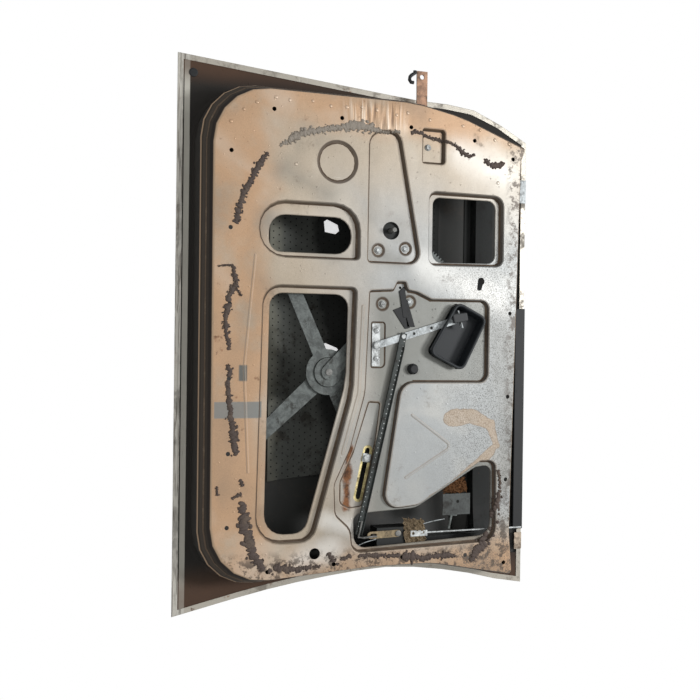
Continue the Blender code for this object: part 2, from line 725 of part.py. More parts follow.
def build_inner_panel():
    """The pressed inner panel: flange, walls, inner plane, recesses and openings."""
    sheet = Sheet()
    rim_corners = scaled_corners(RIM_SHARES)
    foot_corners = scaled_corners(FOOT_SHARES)
    counts = arc_counts(rim_corners)
    rim_loop = rounded_loop(rim_corners, counts=counts)
    foot_loop = rounded_loop(foot_corners, counts=counts)
    previous = None
    for way, depth_share in WALL_SHARES:
        points = [rim.lerp(foot, way) for rim, foot in zip(rim_loop, foot_loop)]
        ring = sheet.ring(points, INNER_Y * depth_share)
        if previous:
            sheet.rings_between(ring, previous)
        else:
            rim = ring
        previous = ring
    flange = sheet.ring(skin_loop(SKIN_SHEET + 2 * GAP), 0)
    sheet.floor([flange, previous])

    plane = [rim]
    plane += opening_recess(sheet, OPENING_1_RECESS_SHARES, OPENING_1_SHARES)
    plane += opening_recess(sheet, OPENING_2_RECESS_SHARES, OPENING_2_SHARES)
    plane += opening_recess(sheet, OPENING_4_RECESS_SHARES, OPENING_4_SHARES)
    plane += [tongue_recess(sheet), mechanism_recess(sheet), run_recess(sheet), dish(sheet)]
    plane += beads(sheet)
    for shares in CLIP_HOLE_SHARES:
        plane.append(sheet.hole(on_door(shares), CLIP_HOLE_RADIUS, INNER_Y, CLIP_HOLE_SIDES))
    plane.append(sheet.hole(on_door(BUTTON_HOLE_SHARES), BUTTON_HOLE_RADIUS, INNER_Y))
    plane.append(sheet.ring(rounded_loop(scaled_corners(KEYHOLE_SHARES)), INNER_Y))
    sheet.floor(plane)
    panel = sheet.finish("inner_panel", "panel_paint", PANEL_SHEET, INBOARD)
    cut_panel_walls(panel)
    return panel


def opening_recess(sheet, recess_shares, opening_shares):
    """A dished recess with a lipped opening in its floor."""
    rim, floor = sheet.press(scaled_corners(recess_shares), INNER_Y, OPENING_DEPTH, WALL_SLOPE)
    sheet.floor([floor, sheet.lipped_hole(scaled_corners(opening_shares), OPENING_Y)])
    return [rim]


def bolt_seat(sheet, shares):
    """A dimple with the hole of a regulator bolt."""
    centre = on_door(shares)
    rim, floor = sheet.round_press(centre, BOLT_SEAT_RADIUS, RECESS_Y, SEAT_DEPTH, SEAT_SLOPE * 2)
    sheet.floor([floor, sheet.hole(centre, BOLT_RADIUS + GAP, SEAT_Y, CLIP_HOLE_SIDES)])
    return rim


def tongue_recess(sheet):
    """The tapering recess of the winder, with two bolt seats."""
    rim, floor = sheet.press(scaled_corners(TONGUE_SHARES), INNER_Y, RECESS_DEPTH, WALL_SLOPE)
    winder = sheet.hole(on_door(WINDER_SHARES), WINDER_HOLE_RADIUS, RECESS_Y)
    sheet.floor([floor, winder] + [bolt_seat(sheet, shares) for shares in BOLT_SHARES[:2]])
    return rim


def run_recess(sheet):
    """The small recess of the glass run's bolt."""
    rim, floor = sheet.press(scaled_corners(RUN_RECESS_SHARES), INNER_Y, RECESS_DEPTH, WALL_SLOPE)
    sheet.floor([floor, sheet.hole(on_door(RUN_BOLT_SHARES), BOLT_RADIUS + GAP, RECESS_Y, CLIP_HOLE_SIDES)])
    return rim


def dish(sheet):
    """The round stiffening dish."""
    rim, floor = sheet.round_press(on_door(DISH_CENTRE_SHARES), DISH_RADIUS, INNER_Y, DISH_DEPTH, WALL_SLOPE)
    sheet.floor([floor])
    return rim


def beads(sheet):
    """Raised beads between the openings, along the bottom and on the plateau."""
    rims = []
    for path, width in ((LONG_BEAD_SHARES, BEAD_WIDTH), (CREASE_SHARES, BEAD_WIDTH * 0.8),
                        (PLATEAU_BEAD_SHARES, BEAD_WIDTH * 0.8)):
        rim, floor = sheet.shallow_press(ribbon_corners(path, width), INNER_Y, -BEAD_HEIGHT, BEAD_SLOPE)
        sheet.floor([floor])
        rims.append(rim)
    return rims


def mechanism_recess(sheet):
    """The large recess of the release lever, with the handle pocket, the guide slot and the rear opening."""
    rim, floor = sheet.press(scaled_corners(MECHANISM_SHARES), INNER_Y, RECESS_DEPTH, WALL_SLOPE)
    pocket_rim, pocket_floor = sheet.press(grown(cup_corners(), CUP_TAPER), RECESS_Y, POCKET_Y - RECESS_Y, SEAT_SLOPE)
    sheet.floor([pocket_floor])
    guide_rim, guide_floor = sheet.shallow_press(scaled_corners(GUIDE_RECESS_SHARES), RECESS_Y, SEAT_DEPTH,
                                                 SEAT_SLOPE * 2)
    sheet.floor([guide_floor, sheet.ring(slot_loop(PANEL_SLOT_WIDTH), SEAT_Y)])
    bracket_rim, bracket_floor = sheet.shallow_press(scaled_corners(BRACKET_POCKET_SHARES), RECESS_Y, SEAT_DEPTH,
                                                     SEAT_SLOPE)
    screws = [sheet.hole(on_door(shares), SCREW_RADIUS + GAP, SEAT_Y, CLIP_HOLE_SIDES) for shares in LEVER_SCREW_SHARES]
    sheet.floor([bracket_floor] + screws)
    holes = [sheet.lipped_hole(scaled_corners(OPENING_3_SHARES), RECESS_Y)]
    holes.append(sheet.hole(on_door(NOTCH_HOLE_SHARES), NOTCH_HOLE_RADIUS, RECESS_Y, CLIP_HOLE_SIDES))
    holes.append(sheet.hole(on_door(ROD_CLIP_SHARES), SCREW_RADIUS + GAP, RECESS_Y, CLIP_HOLE_SIDES))
    seats = [bolt_seat(sheet, shares) for shares in BOLT_SHARES[2:]]
    sheet.floor([floor, pocket_rim, guide_rim, bracket_rim] + holes + seats)
    return rim


def cut_panel_walls(panel):
    """The belt slot, the hinge bolt holes and the latch cut-out."""
    cut_box(panel, "belt_slot",
            (SLOT_FRONT_SHARE * DOOR_LENGTH, INNER_Y + SLOT_INNER_MARGIN, SLOT_BOTTOM_SHARE * DOOR_HEIGHT),
            (SLOT_REAR_SHARE * DOOR_LENGTH, OVERRUN, DOOR_HEIGHT + OVERRUN))
    for row, share in enumerate(HINGE_SHARES):
        for side in (-1, 1):
            centre = Vector((FRONT_WALL_X, HINGE_FACE_Y, share * DOOR_HEIGHT + side * HINGE_BOLT_PITCH / 2))
            cut_cylinder(panel, f"hinge_hole_{row}_{side}", centre, Vector((1, 0, 0)), HINGE_BOLT_RADIUS,
                         2 * OVERRUN, CLIP_HOLE_SIDES * 2)
    height = STRIKER_SHARE * DOOR_HEIGHT
    cut_box(panel, "striker_slot",
            (REAR_WALL_X - OVERRUN, LATCH_INNER_Y, height - STRIKER_SLOT_HEIGHT),
            (REAR_WALL_X + OVERRUN, CLAW_PIVOT_Y - CLAW_NOTCH_RADIUS, height + STRIKER_SLOT_HEIGHT / 2))


def build_skin():
    """The outer skin: a crowned sheet whose edge is folded round the inner panel's flange."""
    sheet = Sheet()
    hem_y = -GAP - SKIN_SHEET
    rings = []
    fold = ((HEM_WIDTH, hem_y), (SKIN_SHEET, hem_y), (0, hem_y + SKIN_SHEET / 2), (0, SKIN_OUTER_Y - SKIN_SHEET / 2),
            (SKIN_SHEET, SKIN_OUTER_Y))
    for inset, depth in fold:
        rings.append(sheet.ring(skin_loop(inset), depth))
    for outer, inner in zip(rings, rings[1:]):
        sheet.rings_between(outer, inner)
    grid = crowned_grid(sheet)
    sheet.rings_between(rings[-1], grid)
    skin = sheet.finish("outer_skin", "skin_paint", SKIN_SHEET, OUTBOARD)
    cut_skin_handle(skin)
    return skin


def crown_vertex(column, row):
    """A point of the crowned middle of the skin, which starts a little inside the fold."""
    place = skin_place(column / SKIN_COLUMNS, row / SKIN_ROWS, SKIN_SHEET + HEM_WIDTH / 2)
    return at_depth(place, SKIN_OUTER_Y + crown_at(place))


def crowned_grid(sheet):
    """The crowned middle of the skin. Returns its edge ring."""
    rows = []
    for row in range(SKIN_ROWS + 1):
        rows.append([sheet.mesh.verts.new(crown_vertex(column, row)) for column in range(SKIN_COLUMNS + 1)])
    for low, high in zip(rows, rows[1:]):
        for column in range(SKIN_COLUMNS):
            sheet.mesh.faces.new((low[column], low[column + 1], high[column + 1], high[column]))
    ring = rows[0][:-1] + [row[-1] for row in rows[:-1]]
    return ring + rows[-1][:0:-1] + [row[0] for row in rows[:0:-1]]


HANDLE_SHARES = (0.815, 0.885, 0.815)
HANDLE_HOLE_HEIGHT = 0.014
LOCK_HOLE_SHARES = (0.915, 0.790)
LOCK_HOLE_RADIUS = 0.009


def cut_skin_handle(skin):
    """The apertures of the outside handle and the lock."""
    height = HANDLE_SHARES[2] * DOOR_HEIGHT
    cut_box(skin, "handle_aperture",
            (HANDLE_SHARES[0] * DOOR_LENGTH, 0, height - HANDLE_HOLE_HEIGHT / 2),
            (HANDLE_SHARES[1] * DOOR_LENGTH, SKIN_OUTER_Y + 2 * SKIN_CROWN, height + HANDLE_HOLE_HEIGHT / 2))
    place = on_door(LOCK_HOLE_SHARES)
    cut_cylinder(skin, "lock_hole", at_depth(place, SKIN_CROWN), OUTBOARD, LOCK_HOLE_RADIUS, 2 * SKIN_CROWN,
                 CLIP_HOLE_SIDES * 2)


def skin_patch(name, columns, profile_rows, thickness, slot):
    """A sheet on the skin's inner side, on the skin's own grid: rows as grid row and standoff."""
    sheet = Sheet()
    lines = []
    for row, stand in profile_rows:
        line = []
        low, high = math.floor(row), math.ceil(row)
        for column in range(columns[0], columns[1] + 1):
            near, far = crown_vertex(column, low), crown_vertex(column, high)
            place = near.lerp(far, row - low)
            depth = SKIN_SHEET + 2 * GAP + thickness + stand
            line.append(sheet.mesh.verts.new(place - Vector((0, depth, 0))))
        lines.append(line)
    for low, high in zip(lines, lines[1:]):
        for column in range(len(low) - 1):
            sheet.mesh.faces.new((low[column], low[column + 1], high[column + 1], high[column]))
    return sheet.finish(name, slot, thickness, INBOARD)


def build_pad():
    rows = [(row, 0) for row in range(PAD_ROWS[0], PAD_ROWS[1] + 1)]
    skin_patch("sound_pad", PAD_COLUMNS, rows, PAD_THICKNESS, "pad")


def build_belt_rail():
    """The hat-shaped reinforcement under the belt edge."""
    low, high = BELT_RAIL_ROWS
    rows = [(low + (high - low) * share, stand * BELT_RAIL_DEPTH) for share, stand in BELT_RAIL_PROFILE_SHARES]
    skin_patch("belt_rail", BELT_RAIL_COLUMNS, rows, BELT_RAIL_SHEET, "dark_steel")


# Regulator geometry, worked out from the pivot, the winder and the guide
LIFT_PIVOT = on_door(LIFT_PIVOT_SHARES)
WINDER = on_door(WINDER_SHARES)
GUIDE_REST = on_door(GUIDE_REST_SHARES)
GUIDE_LINE = GUIDE_REST - LIFT_PIVOT
GUIDE_ANGLE = math.atan2(GUIDE_LINE.y, GUIDE_LINE.x)
ARM_HALF = GUIDE_LINE.length / 2 / math.cos(ARM_REST_ANGLE)
LIFT_ANGLE = GUIDE_ANGLE - ARM_REST_ANGLE
CROSS_ANGLE = GUIDE_ANGLE + math.pi + ARM_REST_ANGLE
CROSSING = polar(LIFT_PIVOT, ARM_HALF, LIFT_ANGLE)
ARM_OUTER = ARM_HALF * ARM_OUTER_RATIO_SHARE
LIFT_END = polar(CROSSING, ARM_OUTER, LIFT_ANGLE)
CROSS_END = polar(CROSSING, ARM_OUTER, CROSS_ANGLE)
MESH_LINE = WINDER - LIFT_PIVOT
MESH_ANGLE = math.atan2(MESH_LINE.y, MESH_LINE.x)
MODULE = 2 * MESH_LINE.length / (SECTOR_TEETH + PINION_TEETH)

BASE_Y = SEAT_Y + PANEL_SHEET + GAP
BASE_BACK_Y = BASE_Y + BASE_SHEET
LIFT_Y = BASE_BACK_Y + LIFT_STANDOFF
CROSS_Y = LIFT_Y + ARM_SHEET + ARM_GAP
TAIL_Y = CROSS_Y + ARM_SHEET + ARM_GAP
ARM_HEAD = ARM_GAP - 2 * GAP


def tooth_points(teeth, shift, addendum, dedendum, centre, middle):
    """One involute tooth about its middle angle, root to root."""
    pitch = MODULE * teeth / 2
    base = pitch * math.cos(PRESSURE_ANGLE)
    root = pitch - MODULE * dedendum
    tip = pitch + MODULE * addendum
    rolled = math.tan(PRESSURE_ANGLE) - PRESSURE_ANGLE
    half_pitch = (math.pi / 2 + 2 * shift * math.tan(PRESSURE_ANGLE)) / teeth - TOOTH_THINNING / pitch
    lowest = max(root, base)
    radii = [lowest + (tip - lowest) * step / FLANK_SAMPLES for step in range(FLANK_SAMPLES + 1)]
    if root < base:
        radii.insert(0, root)
    halves = []
    for radius in radii:
        pressure = math.acos(min(1, base / radius))
        halves.append((radius, half_pitch + rolled - (math.tan(pressure) - pressure)))
    rising = [polar(centre, radius, middle - half) for radius, half in halves]
    falling = [polar(centre, radius, middle + half) for radius, half in reversed(halves)]
    return rising + falling


def sector_outline():
    """The geared half of the lift arm: the toothed sector, its fan and the arm up to the crossing lug."""
    pitch = math.tau / SECTOR_TEETH
    points = []
    first = SECTOR_TEETH_PAST_MESH - SECTOR_CUT_TEETH
    for index in range(first, SECTOR_TEETH_PAST_MESH):
        middle = MESH_ANGLE + (index + 0.5) * pitch
        points += tooth_points(SECTOR_TEETH, -PROFILE_SHIFT_SHARE, SECTOR_ADDENDUM_SHARE, SECTOR_DEDENDUM_SHARE,
                               LIFT_PIVOT, middle)
    quarter = math.pi / 2
    points.append(polar(LIFT_PIVOT, HUB_RADIUS, LIFT_ANGLE - quarter + math.tau))
    points += arc(CROSSING, LUG_RADIUS, LIFT_ANGLE - quarter, LIFT_ANGLE + quarter, 8)
    points.append(polar(LIFT_PIVOT, HUB_RADIUS, LIFT_ANGLE + quarter))
    return points


def build_lift_arm():
    """The geared half, whose pivot hole and lightening hole are cut in the outline."""
    fan = math.tau / SECTOR_TEETH * SECTOR_CUT_TEETH
    low = MESH_ANGLE - fan * 0.74
    high = MESH_ANGLE - fan * 0.16
    reach = MESH_LINE.length
    corners = [(polar(LIFT_PIVOT, reach * radius_share, angle), HUB_RADIUS / 2)
               for radius_share, angle in ((0.46, low), (0.78, low), (0.84, (low + high) / 2), (0.78, high), (0.46, high))]
    window = rounded_loop(corners)
    holes = [circle(LIFT_PIVOT, PIVOT_RADIUS + GAP), window, circle(CROSSING, STUD_RADIUS + GAP, CLIP_HOLE_SIDES * 2)]
    arm = plate("lift_arm", sector_outline(), holes, LIFT_Y, ARM_SHEET, "galvanised")
    return set_pivot(arm, at_depth(LIFT_PIVOT, LIFT_Y))


def build_lift_tail():
    """The far half of the lift arm, riveted to the geared half through the crossing disc."""
    quarter = math.pi / 2
    outline = arc(CROSSING, TAIL_HUB_RADIUS, LIFT_ANGLE + quarter, LIFT_ANGLE + 3 * quarter, 8)
    outline += arc(LIFT_END, ARM_END_RADIUS, LIFT_ANGLE - quarter, LIFT_ANGLE + quarter, 8)
    holes = [circle(CROSSING, STUD_RADIUS + GAP, CLIP_HOLE_SIDES * 2), circle(LIFT_END, STUD_RADIUS + GAP, CLIP_HOLE_SIDES * 2)]
    tail = plate("lift_arm_tail", outline, holes, TAIL_Y, ARM_SHEET, "galvanised")
    return set_pivot(tail, at_depth(LIFT_PIVOT, TAIL_Y))


def build_cross_arm():
    """The crossing arm with its round hub, which turns on the disc between the lift arm's halves."""
    quarter = math.pi / 2
    side = math.asin(ARM_HALF_WIDTH / RING_RADIUS)
    outline = arc(GUIDE_REST, ARM_END_RADIUS, CROSS_ANGLE + quarter, CROSS_ANGLE + 3 * quarter, 8)
    outline += arc(CROSSING, RING_RADIUS, CROSS_ANGLE + math.pi + side, CROSS_ANGLE + math.tau - side, 10)
    outline += arc(CROSS_END, ARM_END_RADIUS, CROSS_ANGLE - quarter, CROSS_ANGLE + quarter, 8)
    outline += arc(CROSSING, RING_RADIUS, CROSS_ANGLE + side, CROSS_ANGLE + math.pi - side, 10)
    holes = [circle(CROSSING, RING_BORE_RADIUS, 32), circle(GUIDE_REST, STUD_RADIUS + GAP, CLIP_HOLE_SIDES * 2),
             circle(CROSS_END, STUD_RADIUS + GAP, CLIP_HOLE_SIDES * 2)]
    arm = plate("cross_arm", outline, holes, CROSS_Y, ARM_SHEET, "galvanised")
    return set_pivot(arm, at_depth(CROSSING, CROSS_Y))


def build_crossing():
    """The bearing disc between the lift arm's halves and the rivet that holds them."""
    radius = RING_BORE_RADIUS - GAP
    top = CROSS_Y - (LIFT_Y + ARM_SHEET + GAP)
    bottom = CROSS_Y - (TAIL_Y - GAP)
    bore = STUD_RADIUS + GAP
    turned("crossing_disc", [(bore, top), (radius, top), (radius, bottom), (bore, bottom)],
           at_depth(CROSSING, CROSS_Y), "galvanised", closed=True, steps=32)
    headed_pin("crossing_rivet", at_depth(CROSSING, LIFT_Y - GAP), "steel", STUD_HEAD_RADIUS, RIVET_HEAD_HEIGHT,
               STUD_RADIUS, TAIL_Y + ARM_SHEET - LIFT_Y + 2 * GAP, STUD_HEAD_RADIUS, RIVET_HEAD_HEIGHT)


def build_pivot_stud():
    """The shouldered stud on the base plate that the lift arm turns on."""
    shoulder = PIVOT_RADIUS * 1.7
    neck = PIVOT_RADIUS * 0.6
    profile = [(0, BASE_SHEET + RIVET_HEAD_HEIGHT), (shoulder * 0.8, BASE_SHEET + RIVET_HEAD_HEIGHT),
               (shoulder * 0.8, BASE_SHEET + GAP), (neck, BASE_SHEET + GAP), (neck, -GAP), (shoulder, -GAP),
               (shoulder, GAP - LIFT_STANDOFF), (PIVOT_RADIUS, GAP - LIFT_STANDOFF),
               (PIVOT_RADIUS, -LIFT_STANDOFF - ARM_SHEET - GAP), (PIVOT_RADIUS * 1.4, -LIFT_STANDOFF - ARM_SHEET - GAP),
               (PIVOT_RADIUS * 1.4, -LIFT_STANDOFF - ARM_SHEET - GAP - ARM_HEAD + GAP)]
    profile.append((0, profile[-1][1]))
    turned("lift_pivot_stud", profile, at_depth(LIFT_PIVOT, BASE_BACK_Y), "steel")


def arm_stud(name, centre, front_y):
    """The stud of a roller: a thin head inboard of the arm, the roller's seat outboard and a retaining head."""
    seat = ARM_SHEET + GAP
    end = seat + ROLLER_WIDTH + 2 * GAP
    profile = [(0, ARM_HEAD), (STUD_HEAD_RADIUS, ARM_HEAD), (STUD_HEAD_RADIUS, GAP), (STUD_RADIUS, GAP),
               (STUD_RADIUS, -end), (STUD_HEAD_RADIUS, -end), (STUD_HEAD_RADIUS, -end - RIVET_HEAD_HEIGHT)]
    profile.append((0, profile[-1][1]))
    turned(name, profile, at_depth(centre, front_y), "steel")


def arm_roller(name, centre, front_y):
    """A flanged nylon roller on its stud."""
    start = -ARM_SHEET - 2 * GAP
    end = start - ROLLER_WIDTH + GAP
    bore = STUD_RADIUS + GAP
    groove = ROLLER_RADIUS - ROLLER_FLANGE
    profile = [(bore, start), (ROLLER_RADIUS, start), (ROLLER_RADIUS, start - ROLLER_FLANGE),
               (groove, start - ROLLER_FLANGE * 1.5), (groove, end + ROLLER_FLANGE * 1.5),
               (ROLLER_RADIUS, end + ROLLER_FLANGE), (ROLLER_RADIUS, end), (bore, end)]
    turned(name, profile, at_depth(centre, front_y), "black_plastic", closed=True)


def slot_loop(width, spare=RAIL_SLOT_SPARE):
    """A long slot on the guide line that covers the guide stud's travel."""
    along = GUIDE_LINE.normalized()
    start = LIFT_PIVOT + along * (2 * ARM_HALF * math.cos(ARM_REST_ANGLE) - spare)
    end = LIFT_PIVOT + along * (2 * ARM_HALF + spare / 2)
    angle = GUIDE_ANGLE
    quarter = math.pi / 2
    points = arc(end, width / 2, angle - quarter, angle + quarter, 6)
    return points + arc(start, width / 2, angle + quarter, angle + 3 * quarter, 6)


def build_guide():
    """The slotted guide rail, the square slider and the cross arm's stud in it."""
    along = GUIDE_LINE.normalized()
    across = Vector((-along.y, along.x)) * (RAIL_WIDTH / 2)
    start = LIFT_PIVOT + along * (2 * ARM_HALF * math.cos(ARM_REST_ANGLE) - RAIL_SLOT_SPARE * 1.6 - RAIL_END)
    end = LIFT_PIVOT + along * (2 * ARM_HALF + RAIL_SLOT_SPARE / 2 + RAIL_END)
    corners = [(start - across, RAIL_END / 2), (end - across, RAIL_END / 2), (end + across, RAIL_END / 2),
               (start + across, RAIL_END / 2)]
    plate("guide_rail", rounded_loop(corners), [slot_loop(RAIL_SLOT_WIDTH)], BASE_Y, BASE_SHEET, "yellow_zinc")
    build_slider(along)
    stud_front = CROSS_Y - (BASE_Y - GAP - SLIDER_THICKNESS - GAP)
    hex_height = BOLT_HEAD_HEIGHT
    bottom = -ARM_SHEET - GAP
    profile = [(0, stud_front + hex_height), (BOLT_HEAD_RADIUS, stud_front + hex_height),
               (BOLT_HEAD_RADIUS, stud_front), (STUD_RADIUS - GAP, stud_front), (STUD_RADIUS - GAP, GAP * 2),
               (STUD_RADIUS * 1.5, GAP * 2), (STUD_RADIUS * 1.5, GAP), (STUD_RADIUS, GAP), (STUD_RADIUS, bottom),
               (STUD_HEAD_RADIUS, bottom), (STUD_HEAD_RADIUS, bottom - ARM_HEAD + GAP)]
    profile.append((0, profile[-1][1]))
    turned("guide_stud", profile, at_depth(GUIDE_REST, CROSS_Y), "zinc", steps=18)


def build_slider(along):
    """The square washer that slides on the rail, with a block that keeps it straight in the slot."""
    side = SLIDER_SIDE / 2
    across = Vector((-along.y, along.x))
    square = [GUIDE_REST + along * (side * sx) + across * (side * sz) for sx, sz in ((-1, -1), (1, -1), (1, 1), (-1, 1))]
    bore = circle(GUIDE_REST, STUD_RADIUS + GAP, CLIP_HOLE_SIDES * 2)
    front = BASE_Y - GAP - SLIDER_THICKNESS
    slider = plate("guide_slider", square, [bore], front, SLIDER_THICKNESS, "zinc")
    return set_pivot(slider, at_depth(GUIDE_REST, front))


def build_base_plate():
    """The plate that carries the winder and the lift arm's pivot."""
    holes = [circle(on_door(shares), BOLT_RADIUS + GAP, CLIP_HOLE_SIDES * 2) for shares in BOLT_SHARES]
    holes.append(circle(LIFT_PIVOT, PIVOT_RADIUS * 0.6 + GAP, CLIP_HOLE_SIDES * 2))
    holes.append(circle(WINDER, WINDER_HOLE_RADIUS * 0.9))
    plate("regulator_base", rounded_loop(scaled_corners(BASE_PLATE_SHARES)), holes, BASE_Y, BASE_SHEET, "galvanised")


def build_winder():
    """The clutch drum behind the base plate and the splined spindle with its pinion."""
    top = 0
    bottom = -DRUM_DEPTH
    bore = SPINDLE_RADIUS + GAP
    drum = [(bore, top), (DRUM_RADIUS, top), (DRUM_RADIUS, bottom), (bore, bottom)]
    turned("clutch_drum", drum, at_depth(WINDER, BASE_BACK_Y + GAP), "steel", closed=True)
    sheet = Sheet()
    teeth = []
    for index in range(PINION_TEETH):
        teeth += tooth_points(PINION_TEETH, PROFILE_SHIFT_SHARE, PINION_ADDENDUM_SHARE, PINION_DEDENDUM_SHARE, WINDER,
                              MESH_ANGLE + math.pi + index * math.tau / PINION_TEETH)
    front = LIFT_Y - GAP
    sheet.floor([sheet.ring(teeth, front)])
    pinion = sheet.finish("winder_spindle", "steel", ARM_SHEET + 2 * GAP, INBOARD)
    set_pivot(pinion, at_depth(WINDER, front))
    shaft = spline_shaft()
    shaft.parent = ORIGIN
    combine(pinion, shaft, "UNION")
    return pinion


def spline_shaft():
    """The winder's splined shaft, which reaches inboard through the winder hole."""
    loop = []
    for index in range(2 * SPLINE_COUNT):
        radius = SPINDLE_RADIUS - (SPLINE_DEPTH if index % 2 else 0)
        loop.append(polar(WINDER, radius, index * math.pi / SPLINE_COUNT))
    front = RECESS_Y - SPINDLE_REACH
    back = LIFT_Y + ARM_SHEET / 2
    made = bmesh.new()
    ends = [[made.verts.new(at_depth(point, depth)) for point in loop] for depth in (front, back)]
    count = len(loop)
    for index in range(count):
        follow = (index + 1) % count
        made.faces.new((ends[0][index], ends[0][follow], ends[1][follow], ends[1][index]))
    for end in ends:
        made.faces.new(end)
    bmesh.ops.recalc_face_normals(made, faces=made.faces)
    data = bpy.data.meshes.new("spline_shaft")
    made.to_mesh(data)
    made.free()
    return cutter("spline_shaft", data)


def build_bolts():
    for index, shares in enumerate(BOLT_SHARES, 1):
        shank = SEAT_Y - GAP
        length = BASE_BACK_Y + BOLT_TAIL - shank
        headed_pin(f"regulator_bolt_{index}", at_depth(on_door(shares), shank), "zinc", BOLT_HEAD_RADIUS,
                   BOLT_HEAD_HEIGHT, BOLT_RADIUS, length, steps=16)


def build_regulator():
    build_base_plate()
    build_bolts()
    build_winder()
    build_pivot_stud()
    build_lift_arm()
    build_lift_tail()
    build_cross_arm()
    build_crossing()
    build_guide()
    arm_stud("lift_roller_stud", LIFT_END, TAIL_Y)
    arm_roller("lift_roller", LIFT_END, TAIL_Y)
    arm_stud("cross_roller_stud", CROSS_END, CROSS_Y)
    arm_roller("cross_roller", CROSS_END, CROSS_Y)


# Door release geometry
LEVER_PIVOT = on_door(LEVER_PIVOT_SHARES)
LEVER_END = on_door(LEVER_END_SHARES)
LINK_JOINT = on_door(LINK_JOINT_SHARES)
LINK_END = on_door(LINK_END_SHARES)
BRACKET_Y = SEAT_Y - GAP - LEVER_SHEET
LEVER_Y = BRACKET_Y - LEVER_RISE - LEVER_SHEET
LINK_Y = LEVER_Y - GAP - LINK_SHEET
CUP_TOP_Y = INNER_Y - CUP_RISE


def bar_loop(start, end, width):
    """A straight bar with round ends."""
    line = end - start
    angle = math.atan2(line.y, line.x)
    quarter = math.pi / 2
    points = arc(end, width / 2, angle - quarter, angle + quarter, 6)
    return points + arc(start, width / 2, angle + quarter, angle + 3 * quarter, 6)


def build_lever():
    """The release lever: a punched bar on a riveted bracket, with a finger tab turned up at its end."""
    screws = [circle(on_door(shares), SCREW_RADIUS + GAP, CLIP_HOLE_SIDES * 2) for shares in LEVER_SCREW_SHARES]
    bore = circle(LEVER_PIVOT, RIVET_RADIUS + GAP, CLIP_HOLE_SIDES * 2)
    plate("lever_bracket", rounded_loop(scaled_corners(LEVER_BRACKET_SHARES)), screws + [bore], BRACKET_Y, LEVER_SHEET,
          "zinc")
    for index, shares in enumerate(LEVER_SCREW_SHARES, 1):
        headed_pin(f"bracket_screw_{index}", at_depth(on_door(shares), BRACKET_Y - GAP), "zinc", SCREW_HEAD_RADIUS,
                   SCREW_HEAD_HEIGHT, SCREW_RADIUS, LEVER_SHEET + PANEL_SHEET + BOLT_TAIL, steps=16)
    holes = [bore, circle(LINK_JOINT, RIVET_RADIUS + GAP, CLIP_HOLE_SIDES * 2)]
    holes += [circle(LEVER_PIVOT.lerp(LEVER_END, share), RIVET_RADIUS, CLIP_HOLE_SIDES) for share in LEVER_HOLE_SHARES]
    lever = plate("release_lever", bar_loop(LEVER_PIVOT, LEVER_END, LEVER_WIDTH), holes, LEVER_Y, LEVER_SHEET, "zinc")
    tab = box_mesh("finger_tab", (-TAB_LENGTH / 2, -TAB_HEIGHT, -LEVER_SHEET / 2),
                   (TAB_LENGTH / 2, LEVER_SHEET / 2, LEVER_SHEET / 2))
    tab_guide = cutter("finger_tab", tab)
    tab_guide.location = at_depth(LEVER_END.lerp(LEVER_PIVOT, 0.06), LEVER_Y)
    arm = LEVER_END - LEVER_PIVOT
    tab_guide.rotation_euler = (0, math.atan2(arm.x, arm.y), 0)
    combine(lever, tab_guide, "UNION")
    set_pivot(lever, at_depth(LEVER_PIVOT, LEVER_Y))
    profile = rivet_profile(BRACKET_Y - LEVER_Y + LEVER_SHEET, LEVER_RISE)
    turned("lever_rivet", profile, at_depth(LEVER_PIVOT, LEVER_Y), "zinc", steps=16)


def rivet_profile(span, washer):
    """A rivet whose head stands inboard of the lever, with a spacing collar between lever and bracket."""
    top = GAP + RIVET_HEAD_HEIGHT
    collar = RIVET_HEAD_RADIUS * 0.9
    return [(0, top), (RIVET_HEAD_RADIUS * 0.7, top), (RIVET_HEAD_RADIUS, GAP * 2), (RIVET_HEAD_RADIUS, GAP),
            (RIVET_RADIUS, GAP), (RIVET_RADIUS, -LEVER_SHEET - GAP), (collar, -LEVER_SHEET - GAP),
            (collar, -LEVER_SHEET - washer + GAP), (RIVET_RADIUS, -LEVER_SHEET - washer + GAP),
            (RIVET_RADIUS, -span + GAP), (0, -span + GAP)]


